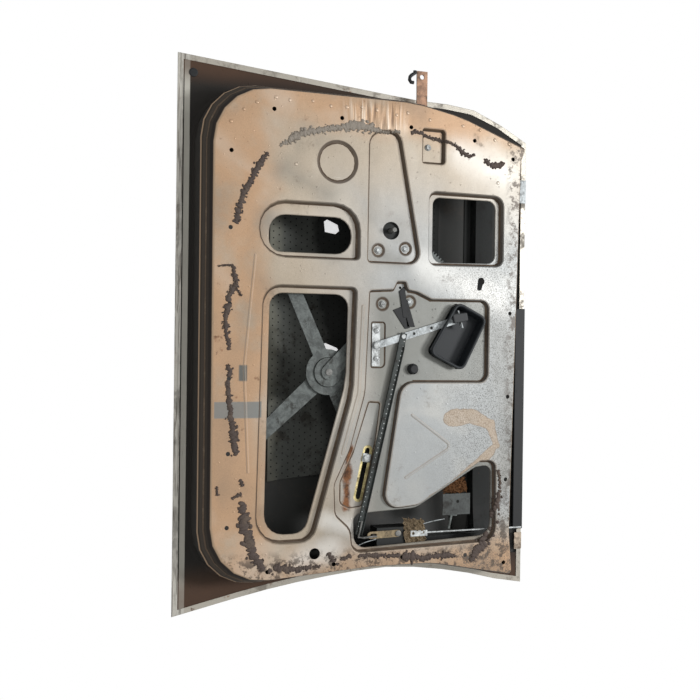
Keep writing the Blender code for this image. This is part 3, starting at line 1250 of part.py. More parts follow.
def build_link():
    """The long channel-shaped link from the lever to the latch, and the wire at its end."""
    line = LINK_END - LINK_JOINT
    along = line.normalized()
    across = Vector((-along.y, along.x))
    half = LINK_WIDTH / 2
    start = LINK_JOINT - along * (LINK_WIDTH / 2)
    stations = [(0.0, 0.12), (LINK_TONGUE, 0.12), (LINK_TONGUE + LINK_WIDTH, 1.0), (line.length + half, 1.0)]
    made = bmesh.new()
    rows = []
    for distance, rise in stations:
        middle = start + along * distance
        flange = LINK_Y + LINK_SHEET - LINK_FLANGE * rise
        floor = LINK_Y + LINK_SHEET
        row = [at_depth(middle - across * half, flange), at_depth(middle - across * half, floor),
               at_depth(middle, floor), at_depth(middle + across * half, floor), at_depth(middle + across * half, flange)]
        rows.append([made.verts.new(point) for point in row])
    for low, high in zip(rows, rows[1:]):
        for index in range(len(low) - 1):
            made.faces.new((low[index], low[index + 1], high[index + 1], high[index]))
    bmesh.ops.recalc_face_normals(made, faces=made.faces)
    made.normal_update()
    floor_face = max(made.faces, key=lambda face: face.calc_area())
    if floor_face.normal.y < 0:
        bmesh.ops.reverse_faces(made, faces=made.faces)
    data = bpy.data.meshes.new("link_bar")
    made.to_mesh(data)
    made.free()
    link = add_object("link_bar", data, "dark_steel")
    solidify(link, LINK_SHEET)
    cut_cylinder(link, "link_hole", at_depth(LINK_JOINT, LINK_Y), OUTBOARD, RIVET_RADIUS + GAP, 4 * LINK_SHEET,
                 CLIP_HOLE_SIDES * 2)
    set_pivot(link, at_depth(LINK_JOINT, LINK_Y))
    top = LINK_SHEET + GAP + RIVET_HEAD_HEIGHT
    span = LINK_SHEET + LEVER_SHEET + GAP
    profile = [(0, top - LINK_SHEET), (RIVET_HEAD_RADIUS * 0.7, top - LINK_SHEET), (RIVET_HEAD_RADIUS * 0.8, GAP),
               (RIVET_RADIUS, GAP), (RIVET_RADIUS, -span), (RIVET_HEAD_RADIUS * 0.8, -span),
               (RIVET_HEAD_RADIUS * 0.8, -span - RIVET_HEAD_HEIGHT), (0, -span - RIVET_HEAD_HEIGHT)]
    profile = [(radius, height if height >= 0 else height - GAP) for radius, height in profile]
    turned("link_rivet", profile, at_depth(LINK_JOINT, LINK_Y), "zinc", steps=16)
    build_latch_rod(along)


def build_latch_rod(along):
    """The bent wire that the link holds and that works the latch's crank."""
    foot = on_door(CRANK_FOOT_SHARES)
    bed = LINK_Y - GAP - LATCH_ROD_RADIUS
    tip = CRANK_Y + LEVER_SHEET + LATCH_ROD_RADIUS
    begin = LINK_END - along * (LINK_WIDTH * 2)
    points = [at_depth(begin, bed), at_depth(LINK_END + along * (LATCH_ROD_RADIUS * 2), bed)]
    points += [at_depth((LINK_END + along * (LATCH_ROD_RADIUS * 3)).lerp(foot, 0.3), bed),
               at_depth(LINK_END.lerp(foot, 0.85), bed), at_depth(foot, bed + LATCH_ROD_RADIUS), at_depth(foot, tip)]
    rod("latch_rod", points, LATCH_ROD_RADIUS, "steel")


CRANK_Y = LIP_Y + GAP + PANEL_SHEET / 2
CRANK_PIVOT = on_door(CRANK_PIVOT_SHARES)
STRIKER_HEIGHT = STRIKER_SHARE * DOOR_HEIGHT
LATCH_REAR_X = REAR_WALL_X - PANEL_SHEET - GAP
LATCH_TOP_Z = CRANK_PIVOT.y + LATCH_HEIGHT * 0.38
LATCH_CLAW_X = LATCH_REAR_X - LATCH_WALL - GAP - CLAW_THICKNESS
CLAW_PIVOT_Y = LATCH_INNER_Y + CLAW_RADIUS + 2 * GAP
CLAW_PIVOT_Z = STRIKER_HEIGHT + CLAW_RADIUS * 0.75


def build_latch():
    """The latch case with its claw, the crank that releases it and its pins."""
    bottom = LATCH_TOP_Z - LATCH_HEIGHT
    case = box_piece("latch_case", (LATCH_REAR_X - LATCH_LENGTH, LATCH_INNER_Y, bottom),
                     (LATCH_REAR_X, LATCH_OUTER_Y, LATCH_TOP_Z), "dark_steel")
    cut_box(case, "claw_pocket",
            (LATCH_CLAW_X - GAP, LATCH_INNER_Y - OVERRUN, CLAW_PIVOT_Z - CLAW_RADIUS - LATCH_WALL),
            (LATCH_CLAW_X + CLAW_THICKNESS + GAP, CLAW_PIVOT_Y + CLAW_RADIUS + GAP * 2,
             CLAW_PIVOT_Z + CLAW_RADIUS + 2 * GAP))
    cut_box(case, "striker_mouth",
            (LATCH_CLAW_X - LATCH_WALL, LATCH_INNER_Y - OVERRUN, STRIKER_HEIGHT - STRIKER_SLOT_HEIGHT / 2),
            (LATCH_REAR_X + OVERRUN, CLAW_PIVOT_Y - CLAW_NOTCH_RADIUS, STRIKER_HEIGHT + STRIKER_SLOT_HEIGHT / 4))
    pin_axis = Vector((1, 0, 0))
    pin_centre = Vector((LATCH_CLAW_X, CLAW_PIVOT_Y, CLAW_PIVOT_Z))
    cut_cylinder(case, "claw_pin_bore", pin_centre, pin_axis, CLAW_PIN_RADIUS + GAP, 4 * CLAW_THICKNESS,
                 CLIP_HOLE_SIDES * 2)
    bore = at_depth(CRANK_PIVOT, LATCH_INNER_Y)
    cut_cylinder(case, "crank_bore", bore, OUTBOARD, RIVET_RADIUS + GAP, 4 * LATCH_WALL, CLIP_HOLE_SIDES * 2)
    build_claw()
    slot = crank_slot()
    holes = [circle(CRANK_PIVOT, RIVET_RADIUS + GAP, CLIP_HOLE_SIDES * 2), slot]
    foot = on_door(CRANK_FOOT_SHARES)
    crank = plate("latch_crank", bar_loop(CRANK_PIVOT, foot + (foot - CRANK_PIVOT) * 0.12, CRANK_WIDTH), holes, CRANK_Y,
                  LEVER_SHEET, "yellow_zinc")
    set_pivot(crank, at_depth(CRANK_PIVOT, CRANK_Y))
    headed_pin("crank_pin", at_depth(CRANK_PIVOT, CRANK_Y - GAP), "steel", RIVET_HEAD_RADIUS, RIVET_HEAD_HEIGHT,
               RIVET_RADIUS, LEVER_SHEET + LATCH_WALL, steps=16)


def crank_slot():
    """The long hole of the crank, which takes up the arc of the link's wire."""
    foot = on_door(CRANK_FOOT_SHARES)
    along = (foot - CRANK_PIVOT).normalized()
    reach = along * (CRANK_SLOT_LENGTH / 2 - LATCH_ROD_RADIUS)
    return bar_loop(foot - reach, foot + reach, 2 * (LATCH_ROD_RADIUS + 2 * GAP))


def build_claw():
    """The claw that closes round the striker."""
    centre = Vector((CLAW_PIVOT_Y, CLAW_PIVOT_Z))
    mouth = math.radians(225)
    notch = math.asin(CLAW_NOTCH_RADIUS / CLAW_RADIUS)
    outline = arc(centre, CLAW_RADIUS, mouth + notch, mouth - notch + math.tau, 16)
    inner = polar(centre, CLAW_RADIUS * 0.76, mouth)
    outline += arc(inner, CLAW_NOTCH_RADIUS * 0.9, mouth - math.pi / 2, mouth - math.pi * 3 / 2, 6)
    bore = circle(centre, CLAW_PIN_RADIUS + GAP, CLIP_HOLE_SIDES * 2)
    made = Sheet()
    rings = [[made.mesh.verts.new((LATCH_CLAW_X, point.x, point.y)) for point in loop] for loop in (outline, bore)]
    made.floor(rings)
    claw = made.finish("latch_claw", "steel", CLAW_THICKNESS, Vector((-1, 0, 0)))
    set_pivot(claw, Vector((LATCH_CLAW_X, CLAW_PIVOT_Y, CLAW_PIVOT_Z)))
    pin = turned("claw_pin", [(0, CLAW_THICKNESS * 0.8), (CLAW_PIN_RADIUS, CLAW_THICKNESS * 0.8),
                              (CLAW_PIN_RADIUS, -CLAW_THICKNESS * 1.5), (0, -CLAW_THICKNESS * 1.5)],
                 Vector((LATCH_CLAW_X, CLAW_PIVOT_Y, CLAW_PIVOT_Z)), "steel", steps=16)
    pin.rotation_euler = (0, math.radians(-90), 0)


def build_sill_rod():
    """The lock rod that stands on the latch and comes out at the belt line, in its clevis."""
    x = SILL_ROD_X_SHARE * DOOR_LENGTH
    half = CLEVIS_WIDTH / 2
    bottom = LATCH_TOP_Z + GAP
    clevis = box_piece("sill_rod", (x - half, SILL_ROD_Y - half, bottom), (x + half, SILL_ROD_Y + half,
                                                                             bottom + CLEVIS_LENGTH), "zinc")
    cut_cylinder(clevis, "clevis_eye", Vector((x, SILL_ROD_Y, bottom + half)), OUTBOARD, RIVET_RADIUS,
                 2 * CLEVIS_WIDTH, CLIP_HOLE_SIDES * 2)
    made = bmesh.new()
    length = SILL_ROD_TOP_SHARE * DOOR_HEIGHT - bottom - CLEVIS_LENGTH / 2
    bmesh.ops.create_cone(made, cap_ends=True, segments=12, radius1=SILL_ROD_RADIUS, radius2=SILL_ROD_RADIUS,
                          depth=length)
    data = bpy.data.meshes.new("sill_wire")
    made.to_mesh(data)
    made.free()
    wire = cutter("sill_wire", data)
    wire.location = (x, SILL_ROD_Y, bottom + CLEVIS_LENGTH / 2 + length / 2)
    combine(clevis, wire, "UNION")


def build_cup():
    """The plastic handle cup in its pocket, slotted for the lever."""
    corners = cup_corners()
    floor_y = POCKET_Y - GAP
    sheet = Sheet()
    rings = [sheet.ring(rounded_loop(corners, inset), depth)
             for inset, depth in ((0, CUP_TOP_Y), (CUP_TAPER, floor_y - CUP_TAPER), (2 * CUP_TAPER, floor_y))]
    for outer, inner in zip(rings, rings[1:]):
        sheet.rings_between(outer, inner)
    sheet.floor([rings[-1]])
    cup = sheet.finish("handle_cup", "black_plastic", CUP_WALL, OUTBOARD)
    cut_lever_slot(cup)


def cut_lever_slot(cup):
    """The slot in the cup's wall that the lever sweeps through."""
    first, second = on_door(CUP_SHARES[0]), on_door(CUP_SHARES[1])
    wall = (second - first).normalized()
    rest = crossing_of(LEVER_PIVOT, LEVER_END - LEVER_PIVOT, first, wall)
    swung = LEVER_END - LEVER_PIVOT
    cosine, sine = math.cos(LEVER_SWEEP), math.sin(LEVER_SWEEP)
    swung = Vector((swung.x * cosine + swung.y * sine, swung.y * cosine - swung.x * sine))
    pulled = crossing_of(LEVER_PIVOT, swung, first, wall)
    arm = (LEVER_END - LEVER_PIVOT).normalized()
    spread = (LEVER_WIDTH / 2 + CUP_WALL) / abs(arm.x * wall.y - arm.y * wall.x) + 4 * GAP
    low = rest - spread
    high = pulled + spread
    data = box_mesh("lever_slot", (low, LEVER_Y - 2 * GAP, -2 * CUP_WALL - OVERRUN),
                    (high, LEVER_Y + LEVER_SHEET + 2 * GAP, 2 * CUP_WALL + OVERRUN))
    tool = cutter("lever_slot", data)
    tool.location = at_depth(first, 0)
    tool.rotation_euler = (0, -math.atan2(wall.y, wall.x), 0)
    combine(cup, tool, "DIFFERENCE")


def crossing_of(start, direction, base, along):
    """How far along a wall a line meets it."""
    offset = base - start
    across = direction.x * along.y - direction.y * along.x
    return (offset.y * direction.x - offset.x * direction.y) / -across


def build_rubber_strap():
    """The bow-tie shaped rubber strap that hangs from the notch."""
    corners = [(on_door(shares), SMALLEST_RADIUS * 5) for shares in STRAP_PATH_SHARES]
    thickness = STRAP_SHEET
    plate("rubber_strap", rounded_loop(corners), [], RECESS_Y - GAP - thickness, thickness, "rubber")


def build_rod_clip():
    """The round clip that steadies the link."""
    place = at_depth(on_door(ROD_CLIP_SHARES), RECESS_Y - GAP)
    headed_pin("rod_clip", place, "rubber", ROD_CLIP_RADIUS, ROD_CLIP_HEIGHT, SCREW_RADIUS, PANEL_SHEET + BOLT_TAIL,
               steps=16)


def channel(name, x, bottom, top, slot):
    """A glass run channel, open inwards along the door."""
    front, back = RUN_OUTER_Y - RUN_DEPTH, RUN_OUTER_Y
    facing = 1 if x < DOOR_LENGTH / 2 else -1
    shut = x - facing * RUN_WIDTH / 2
    wide = x + facing * RUN_WIDTH / 2
    made = bmesh.new()
    profile = [(wide, front), (shut, front), (shut, back), (wide, back)]
    rows = [[made.verts.new((px, py, height)) for px, py in profile] for height in (bottom, top)]
    for index in range(len(profile) - 1):
        made.faces.new((rows[0][index], rows[0][index + 1], rows[1][index + 1], rows[1][index]))
    bmesh.ops.recalc_face_normals(made, faces=made.faces)
    made.normal_update()
    web = min(made.faces, key=lambda face: abs(face.calc_center_median().x - shut))
    if web.normal.x * facing > 0:
        bmesh.ops.reverse_faces(made, faces=made.faces)
    data = bpy.data.meshes.new(name)
    made.to_mesh(data)
    made.free()
    piece = add_object(name, data, slot)
    solidify(piece, RUN_SHEET)


def build_runs():
    """The front and rear glass runs with the straps that hold them."""
    bottom, top = RUN_BOTTOM_SHARE * DOOR_HEIGHT, RUN_TOP_SHARE * DOOR_HEIGHT
    front_x, rear_x = FRONT_RUN_SHARE * DOOR_LENGTH, REAR_RUN_SHARE * DOOR_LENGTH
    channel("glass_run_front", front_x, bottom, top, "dark_steel")
    channel("glass_run_rear", rear_x, bottom, top, "dark_steel")
    bolt = on_door(RUN_BOLT_SHARES)
    panel_back = RECESS_Y + PANEL_SHEET + GAP
    run_front = RUN_OUTER_Y - RUN_DEPTH - GAP
    foot = STRAP_WIDTH / 2
    path = [Vector((bolt.x + foot, panel_back, bolt.y)), Vector((bolt.x - 2 * foot, panel_back, bolt.y)),
            Vector((bolt.x - 2 * foot, run_front, bolt.y)), Vector((bolt.x + foot / 2, run_front, bolt.y))]
    strap = bent_strip("front_run_strap", path, STRAP_WIDTH, STRAP_SHEET, "galvanised")
    strap.modifiers["sheet"].offset = 1
    cut_cylinder(strap, "run_bolt_bore", at_depth(bolt, panel_back), OUTBOARD, BOLT_RADIUS + GAP, 4 * STRAP_SHEET,
                 CLIP_HOLE_SIDES * 2)
    headed_pin("front_run_bolt", at_depth(bolt, RECESS_Y - GAP), "zinc", BOLT_HEAD_RADIUS, BOLT_HEAD_HEIGHT,
               BOLT_RADIUS, PANEL_SHEET + STRAP_SHEET + BOLT_TAIL, steps=16)
    rear_face = rear_x + RUN_WIDTH / 2 + GAP
    wall = REAR_WALL_X - PANEL_SHEET - GAP
    height = CRANK_PIVOT.y - LATCH_HEIGHT * 0.25
    box_piece("rear_run_bracket", (rear_face, RUN_OUTER_Y - RUN_DEPTH, height - STRAP_WIDTH / 2),
              (wall, RUN_OUTER_Y - RUN_DEPTH + STRAP_SHEET, height + STRAP_WIDTH / 2), "galvanised")


def upright_wall_point(index):
    """A corner of the inner panel's outline at its upright wall."""
    return on_door(RIM_SHARES[index]).lerp(on_door(FOOT_SHARES[index]), WALL_SHARE)


def build_check():
    """The check strap on the front wall, with its hole and a rubber hook."""
    height = CHECK_SHARE * DOOR_HEIGHT
    low, high = upright_wall_point(9), upright_wall_point(8)
    lean = (high.x - low.x) / (high.y - low.y)
    face = low.x + (height - low.y) * lean - GAP
    tip = face - CHECK_REACH
    half = CHECK_WIDTH / 2
    foot = CHECK_WIDTH * 0.8
    path = [Vector((face, CHECK_Y + foot, height)), Vector((face, CHECK_Y, height)), Vector((tip, CHECK_Y, height))]
    strap = bent_strip("check_strap", path, CHECK_WIDTH, CHECK_SHEET, "copper_paint", [lean, lean, 0])
    strap.modifiers["sheet"].offset = 1
    hole = Vector((tip + half, CHECK_Y, height))
    cut_cylinder(strap, "check_hole", hole, OUTBOARD, CHECK_HOLE_RADIUS, 4 * CHECK_SHEET, CLIP_HOLE_SIDES * 2)
    hook_y = CHECK_Y + CHECK_SHEET / 2
    hook_z = height - half - GAP - HOOK_RADIUS
    turns = [(0.0, 0.0), (0.12, 0.0), (0.25, -0.9), (0.35, -1.3), (0.5, -1.4), (0.62, -1.0), (0.62, -0.3)]
    points = [Vector((tip + CHECK_REACH * share * 0.5, hook_y, hook_z + CHECK_WIDTH * rise * 0.35))
              for share, rise in turns]
    rod("check_hook", points, HOOK_RADIUS, "rubber")


def build_belt_trim():
    """The weatherstrip on the skin's belt edge and the two brackets on the belt flange."""
    top = DOOR_HEIGHT
    strip_y = -GAP - SKIN_SHEET - GAP
    box_piece("belt_weatherstrip", (STRIP_SHARES[0] * DOOR_LENGTH, strip_y - STRIP_THICKNESS, top - STRIP_HEIGHT),
              (STRIP_SHARES[1] * DOOR_LENGTH, strip_y, top), "rubber")
    for name, shares, slot in (("belt_bracket", BELT_BRACKET_SHARES, "zinc"),
                               ("rear_belt_bracket", REAR_BRACKET_SHARES, "copper_paint")):
        box_piece(name, (shares[0] * DOOR_LENGTH, strip_y - BELT_BRACKET_SHEET, top - BELT_BRACKET_HEIGHT),
                  (shares[1] * DOOR_LENGTH, strip_y, top), slot)


def build_plug():
    """The grommet in the corner of the flange."""
    headed_pin("corner_plug", at_depth(on_door(PLUG_SHARES), -GAP), "rubber", PLUG_RADIUS, RIVET_HEAD_HEIGHT,
               SCREW_RADIUS, 0, steps=16)


def build_door():
    build_inner_panel()
    build_skin()
    build_pad()
    build_belt_rail()
    build_regulator()
    build_lever()
    build_link()
    build_latch()
    build_sill_rod()
    build_cup()
    build_rubber_strap()
    build_rod_clip()
    build_runs()
    build_check()
    build_belt_trim()
    build_plug()


clear_scene()
PARTS = new_collection("car_door_shell")
CUTTERS = new_collection("cutters")
ORIGIN = bpy.data.objects.new("door_origin", None)
PARTS.objects.link(ORIGIN)
ORIGIN.location = (-FRONT_WALL_X, -HINGE_FACE_Y, -HINGE_SHARES[0] * DOOR_HEIGHT)
build_door()
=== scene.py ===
"""Looks of the car door shell: worn champagne paint, greasy regulator parts, black rubber and plastic.

Door places are given as the door is measured: X from the front bottom corner of the skin to the rear,
Z up, and Y from the outer skin's flange plane towards the outside, all in metres. place() turns them into the
frame's own coordinates.
"""

import json
import math
import random
from functools import reduce
from operator import and_, or_

import bmesh
import bpy
from bpy.props import FloatProperty, FloatVectorProperty, IntProperty, PointerProperty
from bpy.types import Operator, Panel, PropertyGroup
from mathutils import Matrix, Vector
from mathutils.bvhtree import BVHTree


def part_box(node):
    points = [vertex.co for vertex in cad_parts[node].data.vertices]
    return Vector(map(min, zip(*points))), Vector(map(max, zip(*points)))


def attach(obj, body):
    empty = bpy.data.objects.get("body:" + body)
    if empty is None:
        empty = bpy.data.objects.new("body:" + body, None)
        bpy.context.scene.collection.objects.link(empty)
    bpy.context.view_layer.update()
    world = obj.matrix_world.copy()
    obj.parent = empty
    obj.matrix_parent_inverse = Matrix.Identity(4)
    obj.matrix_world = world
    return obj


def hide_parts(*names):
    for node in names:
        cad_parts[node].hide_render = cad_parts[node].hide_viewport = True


bl_info = {
    "name": "Worn door shell",
    "version": (1, 0, 0),
    "blender": (4, 5, 0),
    "location": "3D View > Sidebar > Door",
    "description": "Dresses a packed door shell in worn paint, plated metal, rubber and plastic",
    "category": "Object",
}

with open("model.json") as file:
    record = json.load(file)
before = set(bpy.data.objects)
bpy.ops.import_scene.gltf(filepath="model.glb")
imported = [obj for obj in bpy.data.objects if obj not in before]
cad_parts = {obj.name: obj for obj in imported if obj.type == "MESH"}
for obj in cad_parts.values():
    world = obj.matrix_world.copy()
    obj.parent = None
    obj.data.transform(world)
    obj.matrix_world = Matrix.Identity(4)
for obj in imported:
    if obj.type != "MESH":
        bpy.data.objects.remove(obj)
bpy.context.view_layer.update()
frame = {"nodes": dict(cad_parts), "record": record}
NODES = frame["nodes"]
BODY_OF_NODE = {node: body for body, nodes in frame["record"]["behaviour"]["bodies"].items() for node in nodes}
SLOT_OF_NODE = {entry["node"]: entry["material_slot"] for entry in frame["record"]["subparts"]}

RELIEF_NODES = ("inner_panel", "outer_skin")
DOOR_ORIGIN = Vector((-0.0608, 0.040, -0.196))
INNER_Y = -0.075
OUTWARD = Vector((0, 1, 0))
SEED = 7
PANEL_BODY = "door"
BOLTS = ("regulator_bolt_1", "regulator_bolt_2", "regulator_bolt_3", "regulator_bolt_4", "front_run_bolt")


def place(x, y, z):
    """A door place in the frame's coordinates."""
    return Vector((x, y, z)) + DOOR_ORIGIN


def corners_of(node):
    """The lowest and the highest corner of a CAD node's box."""
    return [Vector(corner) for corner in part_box(node)]


# Shader building blocks


class Value:
    """An output in a node graph. Arithmetic adds math nodes; | is the greater of two, & the smaller."""

    def __init__(self, graph, socket):
        self.graph = graph
        self.socket = socket

    def __add__(self, other):
        return self.graph.math("ADD", self, other)

    def __sub__(self, other):
        return self.graph.math("SUBTRACT", self, other)

    def __rsub__(self, other):
        return self.graph.math("SUBTRACT", other, self)

    def __mul__(self, other):
        return self.graph.math("MULTIPLY", self, other)

    def __or__(self, other):
        return self.graph.math("MAXIMUM", self, other)

    def __and__(self, other):
        return self.graph.math("MINIMUM", self, other)

    def __abs__(self):
        return self.graph.math("ABSOLUTE", self)

    def step(self, low, high):
        """A smooth step from 0 at low to 1 at high."""
        made = self.graph.node("ShaderNodeMapRange", interpolation_type="SMOOTHSTEP")
        return self.graph.fed(made, 0, self, low, high)

    def window(self, low, high, soft):
        """1 between low and high, with soft ends."""
        return self.step(low - soft, low + soft) * self.step(high + soft, high - soft)

    def blend(self, first, second):
        """The first number where this is 0, the second where it is 1."""
        made = self.graph.node("ShaderNodeMix", data_type="FLOAT", clamp_factor=True)
        self.graph.put(made.inputs[0], self)
        self.graph.put(made.inputs[2], first)
        self.graph.put(made.inputs[3], second)
        return Value(self.graph, made.outputs[0])


class Graph:
    """Builds the nodes of one material or one shader node group."""

    def __init__(self, tree):
        self.tree = tree
        self.column = 0

    def node(self, kind, **values):
        made = self.tree.nodes.new(kind)
        made.location = (self.column * 40, 0)
        self.column += 1
        for name, value in values.items():
            setattr(made, name, value)
        return made

    def put(self, socket, value):
        """Link an output to an input, or set the input's own value."""
        if isinstance(value, Value):
            self.tree.links.new(value.socket, socket)
        elif value is not None:
            socket.default_value = value

    def fed(self, node, output, *values, **named):
        """Fill a node's inputs in their order and by name, and give one of its outputs."""
        for socket, value in zip(node.inputs, values):
            self.put(socket, value)
        for name, value in named.items():
            self.put(node.inputs[name.replace("_", " ")], value)
        return Value(self, node.outputs[output])

    def math(self, operation, *values, clamp=False):
        return self.fed(self.node("ShaderNodeMath", operation=operation, use_clamp=clamp), 0, *values)

    def vector(self, operation, *values, **named):
        """Vector math: a number for dot products and lengths, or else a vector."""
        output = "Value" if operation in ("DOT_PRODUCT", "LENGTH") else "Vector"
        return self.fed(self.node("ShaderNodeVectorMath", operation=operation), output, *values, **named)

    def mix(self, factor, first, second):
        """Mix two colours."""
        made = self.node("ShaderNodeMix", data_type="RGBA", clamp_factor=True)
        self.put(made.inputs[0], factor)
        self.put(made.inputs[6], colour(first))
        self.put(made.inputs[7], colour(second))
        return Value(self, made.outputs[2])

    def coordinates(self):
        return Value(self, self.node("ShaderNodeTexCoord").outputs["Object"])

    def door_axis(self, vector, index):
        """X, Y or Z as measured on the door."""
        return self.fed(self.node("ShaderNodeSeparateXYZ"), index, vector) - DOOR_ORIGIN[index]

    def noise(self, vector, scale, detail=4.0, roughness=0.55, distortion=0.0):
        return self.fed(self.node("ShaderNodeTexNoise"), 0, Vector=vector, Scale=scale, Detail=detail,
                        Roughness=roughness, Distortion=distortion)

    def cells(self, vector, scale, feature="F1"):
        return self.fed(self.node("ShaderNodeTexVoronoi", feature=feature), "Distance", Vector=vector, Scale=scale)

    def stretched(self, vector, scale):
        return self.fed(self.node("ShaderNodeMapping"), 0, Vector=vector, Scale=scale)

    def group(self, name, vector, **values):
        """One of the node groups at a place. Gives its outputs by name."""
        made = self.node("ShaderNodeGroup", node_tree=groups()[name])
        self.fed(made, 0, Position=vector, **values)
        return {output.name: Value(self, output) for output in made.outputs}

    def stretch(self, vector, start, end):
        """How far a place is from the stretch between two door places, X and Z."""
        ends = [(x + DOOR_ORIGIN.x, 0.0, z + DOOR_ORIGIN.z) for x, z in (start, end)]
        return self.group("segment", vector, Start=ends[0], End=ends[1])["Distance"]

    def result(self, **values):
        """Feed a group's outputs, and give its tree."""
        end = self.node("NodeGroupOutput")
        for name, value in values.items():
            self.put(end.inputs[name], value)
        return self.tree


def colour(value):
    """A colour with its alpha, if the value is a plain one."""
    return value if isinstance(value, Value) else (*value[:3], 1.0)


NUMBER = "NodeSocketFloat"
TINT = "NodeSocketColor"
VECTOR = "NodeSocketVector"


def shader_group(name, inputs, outputs):
    """An empty shader node group that reads a position. Gives its graph and its inputs, position first."""
    tree = bpy.data.node_groups.new(name, "ShaderNodeTree")
    tree.interface.new_socket("Position", in_out="INPUT", socket_type=VECTOR)
    for socket, kind, default in inputs:
        made = tree.interface.new_socket(socket, in_out="INPUT", socket_type=kind)
        if default is not None:
            made.default_value = default
    for socket, kind in outputs:
        tree.interface.new_socket(socket, in_out="OUTPUT", socket_type=kind)
    graph = Graph(tree)
    start = graph.node("NodeGroupInput")
    return graph, *[Value(graph, start.outputs[index]) for index in range(len(inputs) + 1)]


def make_grime_group():
    """Blotches, specks and streaks that dirt leaves: a mask, and a height."""
    graph, vector, scale, amount = shader_group(
        "Grime", [("Patch Scale", NUMBER, 14.0), ("Amount", NUMBER, 0.5)],
        [("Mask", NUMBER), ("Specks", NUMBER), ("Height", NUMBER)])
    broad = graph.noise(vector, scale, detail=8.0, roughness=0.62, distortion=0.4)
    fine = graph.noise(vector, scale * 9.0, detail=6.0, roughness=0.7)
    edge = 0.72 - amount * 0.4
    mask = (broad * 0.72 + fine * 0.28).step(edge, edge + 0.12)
    specks = graph.cells(vector, scale * 17.0).step(0.20, 0.08) * fine.step(0.52, 0.62)
    return graph.result(Mask=mask, Specks=specks, Height=fine)


def make_metal_flake_group():
    """The fine sparkle and orange peel of metallic paint."""
    graph, vector, base, sparkle = shader_group(
        "Metal flake", [("Base", TINT, (0.5, 0.5, 0.5, 1)), ("Sparkle", NUMBER, 0.12)],
        [("Color", TINT), ("Height", NUMBER)])
    flake = graph.noise(vector, 900.0, detail=2.0)
    cloud = graph.noise(vector, 7.0, detail=3.0)
    bright = ((flake - 0.5) * sparkle + 1.0) * cloud.blend(0.88, 1.12)
    return graph.result(Color=graph.vector("SCALE", base, Scale=bright),
                        Height=graph.noise(vector, 260.0, detail=2.0))


def make_rust_group():
    """Rust in two shades with a scaly height."""
    graph, vector, scale = shader_group("Rust", [("Scale", NUMBER, 60.0)], [("Color", TINT), ("Height", NUMBER)])
    grain = graph.noise(vector, scale, detail=8.0, roughness=0.7)
    shade = graph.mix(grain.step(0.35, 0.65), (0.055, 0.022, 0.010), (0.26, 0.11, 0.045))
    return graph.result(Color=shade, Height=grain)


def make_scratch_group():
    """Thin scratches in two directions."""
    graph, vector, amount = shader_group("Scratches", [("Amount", NUMBER, 0.5)], [("Mask", NUMBER)])
    streaks = [graph.noise(graph.stretched(vector, scale), 1.0, detail=3.0, distortion=0.3)
               for scale in ((14.0, 60.0, 420.0), (380.0, 50.0, 18.0))]
    return graph.result(Mask=reduce(or_, [streak.step(0.76 - amount * 0.1, 0.80) for streak in streaks]))


# Half planes that bound the rim of the inner panel: inward X and Z, and the distance from the door's corner
RIM_PLANES = [
    (0.0, 1.0, 0.055), (1.0, 0.0, 0.068), (0.9239, 0.3827, 0.1273), (0.7071, 0.7071, 0.1455),
    (0.3827, 0.9239, 0.1198), (-0.9239, 0.3827, -0.794), (-0.7071, 0.7071, -0.5593), (-0.3827, 0.9239, -0.2608),
    (-1.0, 0.0, -0.913), (0.0, -1.0, -0.630), (0.9384, -0.3455, -0.0990), (0.9826, -0.1858, -0.0121),
]


def make_rim_group():
    """How far a place lies inside the rim of the inner panel."""
    graph, vector = shader_group("Rim distance", [], [("Distance", NUMBER)])
    distances = [graph.vector("DOT_PRODUCT", vector, (across, 0.0, up))
                 - (reach + across * DOOR_ORIGIN.x + up * DOOR_ORIGIN.z) for across, up, reach in RIM_PLANES]
    return graph.result(Distance=reduce(and_, distances))


def make_segment_group():
    """Distance from a straight stretch, seen square to the door."""
    graph, vector, start, end = shader_group(
        "Stretch distance", [("Start", VECTOR, None), ("End", VECTOR, None)], [("Distance", NUMBER)])
    flat = graph.vector("MULTIPLY", vector, (1.0, 0.0, 1.0))
    offset = graph.vector("SUBTRACT", flat, start)
    line = graph.vector("SUBTRACT", end, start)
    share = graph.math("DIVIDE", graph.vector("DOT_PRODUCT", offset, line),
                       graph.vector("DOT_PRODUCT", line, line), clamp=True)
    apart = graph.vector("SUBTRACT", offset, graph.vector("SCALE", line, Scale=share))
    return graph.result(Distance=graph.vector("LENGTH", apart))


GROUPS = {}


def groups():
    """The shader node groups, built once."""
    if not GROUPS:
        GROUPS.update(grime=make_grime_group(), flake=make_metal_flake_group(), rust=make_rust_group(),
                      scratches=make_scratch_group(), rim=make_rim_group(), segment=make_segment_group())
    return GROUPS


def new_material(name):
    """A material with its graph and its Principled shader."""
    made = bpy.data.materials.new(name)
    made.use_nodes = True
    return made, Graph(made.node_tree), made.node_tree.nodes["Principled BSDF"]


def bump(graph, shader, height, strength, distance):
    made = graph.fed(graph.node("ShaderNodeBump"), 0, Strength=strength, Distance=distance, Height=height)
    graph.put(shader.inputs["Normal"], made)


def relief(graph):
    """The walls, turn, side and beads that mark_relief stored."""
    stored = graph.node("ShaderNodeAttribute", attribute_name="relief")
    parts = graph.node("ShaderNodeSeparateColor")
    graph.put(parts.inputs[0], Value(graph, stored.outputs["Color"]))
    return [Value(graph, output) for output in (*parts.outputs, stored.outputs["Alpha"])]


# The inner panel's paint


